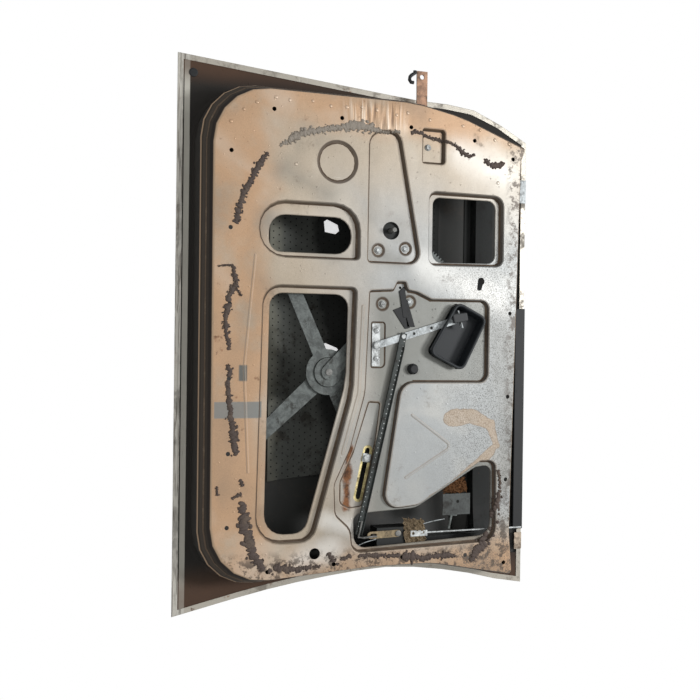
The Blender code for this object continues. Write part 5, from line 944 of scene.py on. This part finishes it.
FINISH_OF_NODE = {
    "release_lever": "lever_zinc", "latch_crank": "brass_dirt", "link_bar": "link_steel",
    # dark_steel on the regulator base, clutch drum and latch case is painted shade
    "rear_belt_bracket": "tan_paint", "regulator_base": "dark_steel", "clutch_drum": "dark_steel",
    "rear_run_bracket": "plate_grey", "latch_case": "dark_steel", "belt_bracket": "lever_zinc",
}

# Runs of old sealant on the inner plane: door X, door Z and width of the run
DARK_RUNS = [
    [(.1785, .1461, .0095), (.1933, .1355, .0171), (.2115, .1249, .0171), (.233, .1145, .0152),
     (.2511, .104, .0171), (.2704, .0989, .0171), (.2898, .0939, .0171), (.3038, .0905, .0133)],
    [(.3799, .0879, .0095), (.3972, .0881, .0133), (.4108, .0936, .0114), (.4215, .0849, .0152),
     (.439, .0781, .0171), (.4528, .0782, .0171), (.4701, .0749, .0133), (.4908, .0752, .0133),
     (.508, .0789, .0114), (.5252, .0809, .0095)],
    [(.381, .0598, .0038), (.3787, .0738, .0057), (.3799, .0879, .0057)],
    [(.4178, .0919, .0057), (.4313, .1027, .0057)],
    [(.5511, .0759, .0076), (.5632, .0831, .0133), (.5856, .0798, .0114), (.6064, .0819, .0133),
     (.6289, .0839, .0133), (.6462, .0859, .0171), (.667, .0897, .0171), (.6896, .0917, .019),
     (.707, .0972, .0171)],
    [(.789, .1071, .0152), (.8064, .1091, .0228), (.8205, .1128, .0266), (.8379, .1131, .0304),
     (.8559, .1222, .0285), (.877, .1261, .0228), (.8915, .1352, .0209), (.9096, .1444, .0152)],
    [(.7488, .1031, .0076), (.7611, .1068, .0095)],
    [(.7829, .0875, .0076), (.775, .1052, .0095)],
    [(.7595, .0627, .0057), (.7751, .0629, .0076)],
    [(.9138, .1553, .0133), (.908, .1735, .0209), (.9129, .1955, .0171), (.9112, .2233, .0133),
     (.9094, .2513, .0076)],
    [(.887, .2661, .0114), (.9002, .2757, .0114), (.9098, .2854, .0076)],
    [(.901, .2891, .0095), (.8949, .3081, .0133)],
    [(.8959, .3236, .0114), (.8955, .3469, .0133), (.9002, .3961, .0114), (.9014, .4161, .0209),
     (.9023, .4301, .0247), (.907, .4463, .0171), (.9047, .4707, .0133), (.9045, .4974, .0171),
     (.9076, .5181, .0095)],
    [(.9208, .5497, .0095), (.9027, .562, .0228), (.8902, .5767, .0247), (.8625, .5911, .0266),
     (.8344, .6014, .0209), (.806, .6074, .0152), (.7775, .6113, .0095), (.7487, .6066, .0076)],
    [(.1206, .4172, .0114), (.1209, .4353, .0114), (.1248, .4556, .0095), (.1287, .476, .0095),
     (.1329, .4925, .0076), (.139, .5091, .0095), (.1476, .5196, .0133), (.1558, .5343, .0114),
     (.1528, .549, .0057)],
    [(.157, .568, .0076), (.1693, .5809, .0152), (.1699, .598, .0171), (.1633, .6107, .0095)],
]
PALE_RUNS = [
    [(.1663, .1677, .0076), (.1564, .1822, .0133), (.1462, .1986, .0171), (.1374, .2188, .0171),
     (.132, .2411, .0152), (.1263, .2655, .0133), (.1229, .2845, .0171), (.1196, .3016, .0228),
     (.1165, .3169, .0247), (.1188, .3325, .0228), (.1229, .3481, .0152), (.1227, .3716, .0095),
     (.1225, .3953, .0076)],
]

# Spot welds pressed up on the inner plane, door X and Z
WELDS = [
    (.1303, .0795), (.1075, .1022), (.0932, .1252), (.0812, .1593), (.084, .1849), (.0817, .2274), (.0874, .2612),
    (.0864, .2916), (.0837, .3204), (.0864, .3495), (.0919, .3889), (.0863, .4107), (.0952, .4552), (.1004, .5231),
    (.1049, .5588), (.1211, .5908), (.1263, .6209), (.1957, .1974), (.2022, .5984), (.1757, .6238),
]


class DoorPaint(PropertyGroup):
    """Colours of the door's paint."""

    silver: FloatVectorProperty(name="Silver", description="Paint in the middle of the inner panel",
                                subtype="COLOR", default=(0.37, 0.385, 0.385), min=0, max=1)
    champagne: FloatVectorProperty(name="Champagne", description="Paint between the middle and the rim",
                                   subtype="COLOR", default=(0.44, 0.37, 0.285), min=0, max=1)
    copper: FloatVectorProperty(name="Copper", description="Paint towards the rim of the inner panel",
                                subtype="COLOR", default=(0.49, 0.315, 0.19), min=0, max=1)
    skin: FloatVectorProperty(name="Skin", description="Paint of the outer skin", subtype="COLOR",
                              default=(0.46, 0.43, 0.37), min=0, max=1)


class DoorDetails(PropertyGroup):
    """Sizes of the door's small features."""

    pad_pitch: FloatProperty(name="Perforation pitch", description="Distance between the pad's perforations",
                             default=0.0125, min=0.004, unit="LENGTH")
    pad_hole: FloatProperty(name="Perforation radius", description="Radius of one perforation", default=0.0014,
                            min=0.0003, unit="LENGTH")
    sealant_height: FloatProperty(name="Sealant height", description="How far the old sealant stands up",
                                  default=0.0022, min=0.0003, unit="LENGTH")
    darkening_width: FloatProperty(name="Corner darkening", description="Width of the darker strips along the inner corners",
                              default=0.0015, min=0.0002, unit="LENGTH")
    dot_pitch: FloatProperty(name="Dot pitch", description="Distance between the dots of the link", default=0.009,
                             min=0.002, unit="LENGTH")
    dot_radius: FloatProperty(name="Dot radius", description="Radius of one dot of the link", default=0.0010,
                              min=0.0002, unit="LENGTH")
    weld_radius: FloatProperty(name="Weld radius", description="Radius of a spot weld's dimple", default=0.0034,
                               min=0.001, unit="LENGTH")
    rim_radius: FloatProperty(name="Rim radius", description="Radius of the round rim of the handle cup",
                              default=0.0028, min=0.001, unit="LENGTH")
    seed: IntProperty(name="Seed", description="Fixes the ragged edges", default=SEED)


class DoorStage(PropertyGroup):
    """Camera, floor and lamps."""

    lens: FloatProperty(name="Lens", description="Focal length for a 36 mm wide sensor", default=51.43, min=10.0)
    floor_height: FloatProperty(name="Floor", description="Height of the floor", default=-0.62, unit="LENGTH")
    key: FloatProperty(name="Key lamp", description="Power of the key lamp in watts", default=112.0, min=0.0)
    sheen: FloatProperty(name="Sheen lamp", description="Power of the lamp that shows in the paint, in watts",
                         default=12.0, min=0.0)
    fill: FloatProperty(name="Fill lamp", description="Power of the fill lamp in watts", default=2.5, min=0.0)


WORLD_LIGHT = 0.16
# Name, door place, the door place that it faces, and the disk's size
LAMPS = [
    ("key", (0.20, -3.00, 3.40), (0.5, 0.0, 0.35), 0.9),
    ("fill", (0.70, -1.9, -0.35), (0.5, 0.0, 0.35), 1.4),
    ("sheen", (-0.34, -2.90, 2.05), (0.3, 0.0, 0.5), 0.7),
    ("rim", (0.5, 1.6, 1.3), (0.5, 0.0, 0.35), 1.6),
]


class DOOR_OT_stage(Operator):
    """Camera at the photograph's viewing angle, floor, world and lamps"""

    bl_idname = "door.stage"
    bl_label = "Stage"

    def execute(self, context):
        settings = context.scene.door_stage
        make_camera(settings.lens)
        make_world()
        make_floor(settings.floor_height)
        powers = {"key": settings.key, "fill": settings.fill, "sheen": settings.sheen, "rim": settings.fill * 2}
        for name, at, towards, size in LAMPS:
            make_lamp(name, place(*at), place(*towards), powers[name], size)
        context.scene.view_settings.view_transform = "Standard"
        return {"FINISHED"}


def make_camera(lens):
    """The camera lies on its side, low in front of the door's inner side, looking up at it."""
    data = bpy.data.cameras.new("photo_camera")
    data.lens = lens
    data.sensor_width = 36.0
    data.clip_start = 0.05
    camera = linked("photo_camera", data)
    right = Vector((-0.01255, -0.34165, 0.93974))
    up = Vector((-0.99991, 0.00854, -0.01025))
    back = Vector((-0.00452, -0.93979, -0.34173))
    turn = Matrix((right, up, back)).transposed().to_4x4()
    camera.matrix_world = Matrix.Translation(place(0.51477, -1.76913, -0.31285)) @ turn
    bpy.context.scene.camera = camera


def make_world():
    """An even grey light, with a white background for the camera, mirrors and glass."""
    world = bpy.data.worlds.new("studio")
    world.use_nodes = True
    bpy.context.scene.world = world
    graph = Graph(world.node_tree)
    rays = graph.node("ShaderNodeLightPath").outputs
    kinds = ("Is Camera Ray", "Is Glossy Ray", "Is Transmission Ray")
    seen = reduce(or_, [Value(graph, rays[kind]) for kind in kinds])
    background = world.node_tree.nodes["Background"]
    graph.fed(background, 0, Color=(1.0, 1.0, 1.0, 1.0), Strength=seen.blend(WORLD_LIGHT, 1.0))


def make_floor(height):
    """A pale floor that shows white and keeps the door's shadow."""
    mesh = bmesh.new()
    corners = ((-4, -4), (4, -4), (4, 4), (-4, 4))
    mesh.faces.new([mesh.verts.new((x, y, height)) for x, y in corners])
    floor = linked("floor", plain_mesh("floor", mesh))
    pale, graph, shader = new_material("pale_floor")
    tone = graph.noise(graph.coordinates(), 3.0)
    graph.fed(shader, 0, Base_Color=graph.mix(tone, (0.88, 0.88, 0.87), (0.92, 0.92, 0.91)),
              Roughness=tone.blend(0.75, 0.85))
    floor.data.materials.append(pale)


def make_lamp(name, at, towards, power, size):
    data = bpy.data.lights.new(name, "AREA")
    data.energy = power
    data.shape = "DISK"
    data.size = size
    lamp = linked(name, data)
    lamp.matrix_world = Matrix.Translation(at) @ (at - towards).to_track_quat("Z", "Y").to_matrix().to_4x4()
    lamp.visible_glossy = name != "rim"


class DOOR_OT_sheet_metal(Operator):
    """Inner panel and outer skin in worn metallic paint"""

    bl_idname = "door.sheet_metal"
    bl_label = "Sheet metal"

    def execute(self, context):
        dress("inner_panel", bevel=0.0012, bevel_angle=24.0)
        dress("outer_skin", angle=45.0)
        return {"FINISHED"}


class DOOR_OT_corner_darkening(Operator):
    """Darker brown strips along the inner corners of the pressings"""

    bl_idname = "door.corner_dirt"
    bl_label = "Darker strips in the corners"

    def execute(self, context):
        details = context.scene.door_details
        chance = random.Random(details.seed)
        shaped = bmesh.new()
        shaped.from_mesh(welded_copy("inner_panel"))
        shaped.normal_update()
        mesh = bmesh.new()
        widths = {}
        for edge in shaped.edges:
            if is_inner_corner(edge):
                add_corner_strip(mesh, edge, widths, details.darkening_width, chance)
        shaped.free()
        # Darker brown strips in the hollow corners
        finished("corner_darkening", mesh, "corner_darkening")
        return {"FINISHED"}


def is_inner_corner(edge):
    """True for a hollow edge between a floor and a wall of a pressing, seen from the inner side."""
    if len(edge.link_faces) != 2 or edge.is_convex:
        return False
    depth = max(vertex.co.y for vertex in edge.verts) - DOOR_ORIGIN.y - INNER_Y
    facing = [face.normal.y for face in edge.link_faces]
    return 0.001 < depth < 0.014 and max(facing) < -0.1 and edge.calc_face_angle(0.0) > math.radians(20)


def add_corner_strip(mesh, edge, widths, width, chance):
    """A flat fillet across a hollow edge, as wide at each end as its neighbours are there."""
    ends = []
    for vertex in edge.verts:
        key = tuple(round(value, 5) for value in vertex.co)
        reach = widths.setdefault(key, width * chance.uniform(0.55, 1.25))
        sides = []
        for face in edge.link_faces:
            inward = face.calc_center_median() - vertex.co
            along = (edge.verts[1].co - edge.verts[0].co).normalized()
            across = along.cross(face.normal).normalized()
            across = across if across.dot(inward) > 0 else -across
            sides.append(mesh.verts.new(vertex.co + across * reach + face.normal * 0.00008))
        ends.append(sides)
    strip = mesh.faces.new((ends[0][0], ends[0][1], ends[1][1], ends[1][0]))
    strip.normal_update()
    if strip.normal.y > 0:
        strip.normal_flip()
    strip.smooth = True


class DOOR_OT_hardware(Operator):
    """Regulator, release, latch, brackets and trims with rounded edges"""

    bl_idname = "door.hardware"
    bl_label = "Hardware"

    def execute(self, context):
        for node, bevel in SIMPLE_NODES.items():
            dress(node, FINISH_OF_NODE.get(node), bevel=bevel)
        return {"FINISHED"}


class DOOR_OT_fasteners(Operator):
    """Flanged hexagon bolts and cross-recessed screws in place of the plain ones"""

    bl_idname = "door.fasteners"
    bl_label = "Bolts and screws"

    def execute(self, context):
        for node in BOLTS:
            make_hex_bolt(node)
        for node in ("bracket_screw_1", "bracket_screw_2"):
            make_cross_screw(node)
        return {"FINISHED"}


# Profiles of bolts and screws from the middle outwards, in shares of the radius and of the head's height
BOLT_HEAD = 0.0040
SCREW_HEAD = 0.0022
SHANK_SHARE = 0.48
HEXAGON = [(0, 0.82), (0.42, 0.82), (0.55, 1.0), (0.70, 1.0), (0.76, 0.86), (0.76, 0.34), (0, 0.34)]
FLANGE = [(0, 0.40), (0.80, 0.40), (0.97, 0.20), (1.0, 0.05), (1.0, 0.0)]
PAN_HEAD = [(0, 1.0), (0.45, 0.96), (0.78, 0.78), (0.95, 0.45), (1.0, 0.13636), (1.0, 0.0)]


def turned_mesh(profile, centre, sides):
    """A turned bmesh about the Y axis: (radius, y) pairs, closed at both ends."""
    mesh = bmesh.new()
    rings = []
    for radius, depth in profile:
        round_places = circle(0, 0, radius, sides) if radius else [(0, 0)]
        rings.append([mesh.verts.new(centre + Vector((x, depth, z))) for x, z in round_places])
    for low, high in zip(rings, rings[1:]):
        for k in range(sides):
            follow = (k + 1) % sides
            corners = [low[k % len(low)], low[follow % len(low)], high[follow % len(high)], high[k % len(high)]]
            mesh.faces.new(list(dict.fromkeys(corners)))
    bmesh.ops.recalc_face_normals(mesh, faces=mesh.faces)
    return mesh


def fastener_places(node, head):
    """The middle of a bolt or screw, its radius, the depth of its head's seat and the end of its shank."""
    low, high = corners_of(node)
    centre = Vector(((low.x + high.x) / 2, 0, (low.z + high.z) / 2))
    return centre, (high.x - low.x) / 2, low.y + head, high.y


def fastener_head(profile, radius, seat, head, end=None):
    """A profile in shares of the radius and of the head's height, with a shank if its end is given."""
    places = [(radius * across, seat - head * up) for across, up in profile]
    if end is not None:
        places += [(radius * SHANK_SHARE, seat), (radius * SHANK_SHARE, end), (0, end)]
    return places


def make_hex_bolt(node):
    """A flanged bolt with a dished hexagon head that stands on the CAD bolt's place."""
    centre, radius, seat, end = fastener_places(node, BOLT_HEAD)
    hexagon = turned_mesh(fastener_head(HEXAGON, radius, seat, BOLT_HEAD), centre, 6)
    body = turned_mesh(fastener_head(FLANGE, radius, seat, BOLT_HEAD, end), centre, 32)
    for face in body.faces:
        face.smooth = True
    joined = plain_mesh("head", hexagon)
    body.from_mesh(joined)
    bpy.data.meshes.remove(joined)
    piece = finished("dressed_" + node, body, "zinc", body=BODY_OF_NODE[node])
    shade_by_angle(piece.data, math.radians(35))
    rounded(piece, 0.00025)
    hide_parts(node)


def make_cross_screw(node):
    """A pan-head screw with a cross recess."""
    centre, radius, seat, end = fastener_places(node, SCREW_HEAD)
    mesh = turned_mesh(fastener_head(PAN_HEAD, radius, seat, SCREW_HEAD, end), centre, 28)
    for face in mesh.faces:
        face.smooth = True
    piece = finished("dressed_" + node, mesh, "zinc", body=BODY_OF_NODE[node])
    shade_by_angle(piece.data, math.radians(40))
    cross = bmesh.new()
    for long_axis in (0, 2):
        for vertex in bmesh.ops.create_cube(cross, size=1.0)["verts"]:
            span = Vector((radius * 0.26, SCREW_HEAD * 1.1, radius * 0.26))
            span[long_axis] = radius * 1.15
            shrink = 0.35 if vertex.co.y > 0 else 1.0
            vertex.co = vertex.co * span * Vector((shrink, 1.0, shrink))
            vertex.co += Vector((centre.x, seat - SCREW_HEAD, centre.z))
    cut(piece, cross)
    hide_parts(node)


def cut(piece, mesh):
    """Cut a bmesh out of a piece, for good."""
    tool = linked("recess", plain_mesh("recess", mesh))
    change = piece.modifiers.new("recess", "BOOLEAN")
    change.operation = "DIFFERENCE"
    change.solver = "EXACT"
    change.use_self = True
    change.object = tool
    result = evaluated_mesh(piece)
    piece.modifiers.clear()
    old = piece.data
    piece.data = result
    bpy.data.meshes.remove(old)
    bpy.data.objects.remove(tool)


class DOOR_OT_pad(Operator):
    """Perforations of the sound pad, as near-black dots of painted shade"""

    bl_idname = "door.pad"
    bl_label = "Sound pad perforations"

    def execute(self, context):
        details = context.scene.door_details
        pitch = details.pad_pitch
        surface = node_surface("sound_pad")
        low, high = corners_of("sound_pad")
        points = []
        row = 0
        z = low.z + pitch * 0.6
        while z < high.z - pitch * 0.5:
            x = low.x + pitch * (0.6 + 0.5 * (row % 2))
            while x < high.x - pitch * 0.4:
                spot, normal, _, _ = surface.ray_cast(Vector((x, low.y - 0.1, z)), OUTWARD)
                if spot and normal.y < -0.5:
                    points.append(spot)
                x += pitch
            z += pitch * 0.87
            row += 1
        # Near-black dots: painted shade inside the perforations
        tree = perforation_tree("Perforations", "hollow")
        scatter("pad_perforations", points, tree, "pad", Radius=details.pad_hole, Depth=0.0004, Sides=8)
        return {"FINISHED"}


class DOOR_OT_sealant(Operator):
    """The torn line of old sealant round the inner plane"""

    bl_idname = "door.sealant"
    bl_label = "Old sealant"

    def execute(self, context):
        details = context.scene.door_details
        chance = random.Random(details.seed)
        surface = node_surface("inner_panel")
        for name, runs, material_name in (("old_sealant", DARK_RUNS, "sealant"),
                                          ("smeared_sealant", PALE_RUNS, "sealant_pale")):
            found = [laid(surface, lump) for run in runs for lump in lumps_along(run, chance)]
            lumps = [lump for lump in found if lump]
            scatter_lumps(name, lumps, material_name, "rubber", details.sealant_height, 0.25, details.seed)
        return {"FINISHED"}


class DOOR_OT_welds(Operator):
    """Spot welds that stand up a little from the inner plane"""

    bl_idname = "door.welds"
    bl_label = "Spot welds"

    def execute(self, context):
        details = context.scene.door_details
        lumps = [(x, INNER_Y, z, details.weld_radius, details.weld_radius, 0.0) for x, z in WELDS]
        scatter_lumps("spot_welds", lumps, "panel_paint", "panel_paint", 0.0009, 0.15, details.seed)
        return {"FINISHED"}


def node_surface(node):
    """A tree to cast rays at a CAD node."""
    mesh = NODES[node].data
    places = [vertex.co for vertex in mesh.vertices]
    return BVHTree.FromPolygons(places, [face.vertices for face in mesh.polygons])


def laid(surface, lump):
    """The lump with the depth of the panel below it, or nothing over holes and deep recesses."""
    x, z, wide, long, turn = lump
    deepest = INNER_Y
    for reach in (-0.7, 0.0, 0.7):
        start = place(x + math.cos(turn) * wide * reach, INNER_Y - 0.05, z - math.sin(turn) * wide * reach)
        spot = surface.ray_cast(start, OUTWARD)[0]
        if spot is None or spot.y - DOOR_ORIGIN.y > INNER_Y + 0.012:
            return None
        if reach == 0.0:
            deepest = spot.y - DOOR_ORIGIN.y
    return x, deepest, z, wide, long, turn


def lumps_along(run, chance):
    """Ragged ripples across a run of sealant: door X and Z, half width, half length and turn of each."""
    path = smooth_path([Vector(point) for point in run], steps=24)
    lumps = []
    travelled = 0.0
    for before, here in zip(path, path[1:]):
        along = Vector((here.x - before.x, here.y - before.y))
        travelled += along.length
        width = here.z
        if travelled < width * 0.15:
            continue
        travelled = 0.0
        if chance.random() < 0.03:
            continue
        along.normalize()
        across = Vector((-along.y, along.x))
        turn = math.atan2(-across.y, across.x) + chance.uniform(-0.35, 0.35)
        middle = Vector((here.x, here.y)) + across * chance.uniform(-0.10, 0.10) * width
        wide, long = width * chance.uniform(0.26, 0.42), width * chance.uniform(0.15, 0.26)
        lumps.append((middle.x, middle.y, wide, long, turn))
        for _ in range(chance.randint(0, 2)):
            stray = middle + across * chance.uniform(-0.5, 0.5) * width
            size = width * chance.uniform(0.07, 0.14)
            lumps.append((stray.x, stray.y, size * 1.4, size, chance.uniform(0, math.tau)))
    return lumps


def scatter_lumps(name, lumps, material_name, slot, height, spread, seed):
    """Flattened balls on the inner plane."""
    points = [place(*lump[:3]) for lump in lumps]
    attributes = {attribute: [lump[index] for lump in lumps]
                  for attribute, index in (("wide", 3), ("long", 4), ("turn", 5))}
    scatter(name, points, lump_tree(name, material_name), slot, attributes=attributes, Height=height,
            Spread=spread, Seed=seed)


def rounded_loop(corners, radius, depth, steps=8):
    """A closed path round the corners, with arcs in them."""
    path = []
    for index, corner in enumerate(corners):
        here = Vector(corner)
        before = (Vector(corners[index - 1]) - here).normalized() * radius
        after = (Vector(corners[(index + 1) % len(corners)]) - here).normalized() * radius
        for step in range(steps + 1):
            share = step / steps
            spot = here + before * (1 - share) ** 2 + after * share ** 2
            path.append(place(spot.x, depth, spot.y))
    return path + path[:1]


def slab(corners, front, back):
    """A closed plate between two depths over a polygon of door places."""
    mesh = bmesh.new()
    rings = [[mesh.verts.new(place(x, depth, z)) for x, z in corners] for depth in (front, back)]
    mesh.faces.new(rings[0])
    mesh.faces.new(rings[1][::-1])
    for index in range(len(corners)):
        follow = (index + 1) % len(corners)
        mesh.faces.new((rings[0][index], rings[1][index], rings[1][follow], rings[0][follow]))
    bmesh.ops.recalc_face_normals(mesh, faces=mesh.faces)
    return mesh


def crumpled(corners, depth, rise, chance, count=14, thickness=0.0005):
    """A thin creased sheet between four door places, closed all round."""
    mesh = bmesh.new()
    low_left, low_right, high_right, high_left = (Vector(corner) for corner in corners)
    rows = []
    for row in range(count + 1):
        line = []
        for column in range(count + 1):
            u, v = column / count, row / count
            spot = (low_left * (1 - u) + low_right * u) * (1 - v) + (high_left * (1 - u) + high_right * u) * v
            edge = 0.0014 if 0 < row < count and 0 < column < count else 0.0026
            spot = spot + Vector((chance.uniform(-edge, edge), chance.uniform(-edge, edge)))
            line.append(mesh.verts.new(place(spot.x, depth + chance.uniform(-rise, rise), spot.y)))
        rows.append(line)
    faces = [mesh.faces.new((rows[r][c], rows[r][c + 1], rows[r + 1][c + 1], rows[r + 1][c]))
             for r in range(count) for c in range(count)]
    bmesh.ops.solidify(mesh, geom=faces, thickness=thickness)
    bmesh.ops.recalc_face_normals(mesh, faces=mesh.faces)
    return mesh


# Outlines in door X and Z, and the door Y of the front and the back of each plate
CUP_CORNERS = [(0.433, 0.5152), (0.526, 0.4599), (0.558, 0.525), (0.462, 0.574)]
CUP_RIM_Y = -0.0806
GRIP_Y = (-0.0818, -0.0745)
WING_Y = (-0.0676, -0.0664)
KEYHOLE_Y = (INNER_Y - 0.00015, INNER_Y + 0.0004)
GRIP = [(0.4540, 0.5035), (0.4715, 0.5075), (0.4655, 0.5370), (0.4500, 0.5340)]
STRAP_WINGS = [[(.4485, .3892), (.4407, .4091), (.4810, .4237), (.4830, .4137)],
               [(.4076, .4046), (.4793, .4176), (.4790, .4338), (.4333, .4190)]]


class DOOR_OT_handle(Operator):
    """Thick rim of the handle cup, grip of the lever and wings of the rubber strap"""

    bl_idname = "door.handle"
    bl_label = "Handle rim, grip and strap"

    def execute(self, context):
        details = context.scene.door_details
        rim = tube(rounded_loop(CUP_CORNERS, 0.014, CUP_RIM_Y), details.rim_radius, sides=12, closed_ends=False)
        bmesh.ops.remove_doubles(rim, verts=rim.verts, dist=0.0003)
        finished("cup_rim", rim, "black_plastic")
        grip = finished("lever_grip", slab(GRIP, *GRIP_Y), "grip_grey", "lever")
        rounded(grip, 0.0022, 4)
        # Near-black disc over the round end of the keyhole: painted shade in the hole
        keyhole = slab(circle(0.3906, 0.5661, 0.0064, 16), *KEYHOLE_Y)
        finished("keyhole_shade_disc", keyhole, "hollow")
        for index, corners in enumerate(STRAP_WINGS):
            rounded(finished(f"strap_wing_{index + 1}", slab(corners, *WING_Y), "rubber"), 0.0005)
        return {"FINISHED"}


class DOOR_OT_link_dots(Operator):
    """The row of small pressed dots along the link"""

    bl_idname = "door.link_dots"
    bl_label = "Dots of the link"

    def execute(self, context):
        details = context.scene.door_details
        link = node_surface("link_bar")
        low, high = corners_of("link_bar")
        first, last = Vector((low.x + 0.008, 0, high.z - 0.004)), Vector((high.x - 0.008, 0, low.z + 0.004))
        count = int((last - first).length / details.dot_pitch)
        spots = [first.lerp(last, index / count) for index in range(count + 1)]
        hits = [link.ray_cast(Vector((spot.x, low.y - 0.05, spot.z)), OUTWARD)[0] for spot in spots]
        scatter("link_dots", [hit for hit in hits if hit], perforation_tree("Link dots", "zinc"), "zinc",
                BODY_OF_NODE["link_bar"], Radius=details.dot_radius, Depth=0.0003, Sides=8)
        return {"FINISHED"}


# Outlines in door X and Z, routes in door X, Y and Z, and the door Y of fronts and backs or middles
TAG_Y = -0.0590
PAPER_Y = -0.0440
RUN_PLATE_Y = (-0.0575, -0.0563)
HOLE_Y = (-0.0577, -0.0572)
RUN_PLATE = [(.793, .4996), (.833, .4996), (.833, .557), (.793, .557)]
CREASED_TAG = [(.834, .4175), (.883, .4240), (.879, .4670), (.838, .4600)]
RUSTY_PAPER = [(.7645, .505), (.795, .507), (.793, .5566), (.766, .553)]
THIN_WIRES = [[(.8960, -.055, .3000), (.8778, -.056, .3387), (.8720, -.055, .3630), (.8657, -.054, .3859)],
              [(.8600, -.057, .4300), (.8496, -.055, .4544), (.8440, -.054, .4800), (.8408, -.053, .5060)]]
T_PIECE = [("t_piece_bar", [(.8295, .5180), (.8592, .5120), (.8600, .5160), (.8303, .5222)], -0.0560, -0.0530),
           ("t_piece_head", [(.8280, .5120), (.8335, .5110), (.8360, .5300), (.8305, .5314)], -0.0568, -0.0525)]


class DOOR_OT_latch_clutter(Operator):
    """What lies in the lower rear opening: creased paper, wires, a plate and a small T piece"""

    bl_idname = "door.latch_clutter"
    bl_label = "Clutter by the latch"

    def execute(self, context):
        chance = random.Random(context.scene.door_details.seed)
        finished("creased_tag", crumpled(CREASED_TAG, TAG_Y, 0.0022, chance), "paper")
        finished("rusty_paper", crumpled(RUSTY_PAPER, PAPER_Y, 0.0020, chance), "rust_paper")
        rounded(finished("run_plate", slab(RUN_PLATE, *RUN_PLATE_Y), "plate_grey"), 0.0004)
        # Near-black disc for the plate's hole: painted shade in the hole
        hole = slab(circle(.808, .531, .003, 10), *HOLE_Y)
        finished("run_plate_hole", hole, "hollow")
        for index, route in enumerate(THIN_WIRES):
            wire = tube(smooth_path([place(*point) for point in route], steps=6), 0.0009, sides=8)
            finished(f"thin_wire_{index + 1}", wire, "lever_zinc")
        for name, corners, front, back in T_PIECE:
            rounded(finished(name, slab(corners, front, back), "galvanised"), 0.0008, 3)
        return {"FINISHED"}


# The outside handle's aperture, where the skin's depth is measured, and the far end of the plate behind it
APERTURE = [(0.800, 0.555), (0.868, 0.555), (0.868, 0.587), (0.800, 0.587)]
BACKING_END = 0.898
# Low and high door X, low and high door Z of the scraps of film
FILM_BOXES = [(0.2775, 0.304, 0.2835, 0.3135), (0.5107, 0.5291, 0.2826, 0.3145)]


class DOOR_OT_film(Operator):
    """Two scraps of pale film inside the skin that glow with painted light, and a near-black plate of painted
    shade behind the outside handle's aperture
    """

    bl_idname = "door.film"
    bl_label = "Pale film"

    def execute(self, context):
        skin, pad = node_surface("outer_skin"), node_surface("sound_pad")
        seat = nearest_depth([skin], [place(x, -0.004, z) for x, z in APERTURE])
        plate = [(BACKING_END if x == max(APERTURE)[0] else x, z) for x, z in APERTURE]
        # A near-black plate behind the aperture: painted shade where the skin is open
        backing = slab(plate, seat - 0.0035, seat - 0.0020)
        rounded(finished("aperture_shade_plate", backing, "hollow"), 0.0004)
        # Glowing pale scraps where the skin shows two pure white spots; their glow is painted light
        for index, (x0, x1, z0, z1) in enumerate(FILM_BOXES):
            near = nearest_depth([pad, skin], [place((x0 + x1) / 2, -0.05, (z0 + z1) / 2)])
            corners = [(x0, z0 + 0.006), (x0 + 0.004, z0), (x1 - 0.003, z0 + 0.002), (x1, z1 - 0.007),
                       (x1 - 0.006, z1), (x0 + 0.009, z1 - 0.003)]
            patch = slab(corners, near - 0.0010, near - 0.0004)
            rounded(finished(f"pale_film_{index + 1}", patch, "film"), 0.0002)
        return {"FINISHED"}


def nearest_depth(surfaces, starts):
    """The least door depth at which a ray outward from a start meets one of the surfaces."""
    hits = [surface.ray_cast(start, OUTWARD)[0] for surface in surfaces for start in starts]
    return min(hit.y for hit in hits if hit) - DOOR_ORIGIN.y


class VIEW3D_PT_door(Panel):
    """Shows the door's settings and a button for each step"""

    bl_idname = "VIEW3D_PT_door"
    bl_label = "Worn door shell"
    bl_space_type = "VIEW_3D"
    bl_region_type = "UI"
    bl_category = "Door"

    def draw(self, context):
        for settings in (context.scene.door_paint, context.scene.door_details, context.scene.door_stage):
            box = self.layout.box()
            for name in settings.bl_rna.properties.keys():
                if name not in ("rna_type", "name"):
                    box.prop(settings, name)
        for operator in OPERATORS:
            self.layout.operator(operator.bl_idname)


OPERATORS = (DOOR_OT_stage, DOOR_OT_sheet_metal, DOOR_OT_corner_darkening, DOOR_OT_hardware, DOOR_OT_fasteners,
             DOOR_OT_pad, DOOR_OT_sealant, DOOR_OT_welds, DOOR_OT_handle, DOOR_OT_link_dots,
             DOOR_OT_latch_clutter, DOOR_OT_film)
CLASSES = (DoorPaint, DoorDetails, DoorStage, *OPERATORS, VIEW3D_PT_door)


def register():
    for kind in CLASSES:
        bpy.utils.register_class(kind)
    bpy.types.Scene.door_paint = PointerProperty(type=DoorPaint)
    bpy.types.Scene.door_details = PointerProperty(type=DoorDetails)
    bpy.types.Scene.door_stage = PointerProperty(type=DoorStage)


def unregister():
    del bpy.types.Scene.door_stage
    del bpy.types.Scene.door_details
    del bpy.types.Scene.door_paint
    for kind in reversed(CLASSES):
        bpy.utils.unregister_class(kind)


def main():
    register()
    for operator in OPERATORS:
        group, name = operator.bl_idname.split(".")
        result = getattr(getattr(bpy.ops, group), name)()
        if result != {"FINISHED"}:
            raise RuntimeError(operator.bl_label + " didn't finish")


if __name__ == "__main__":
    main()
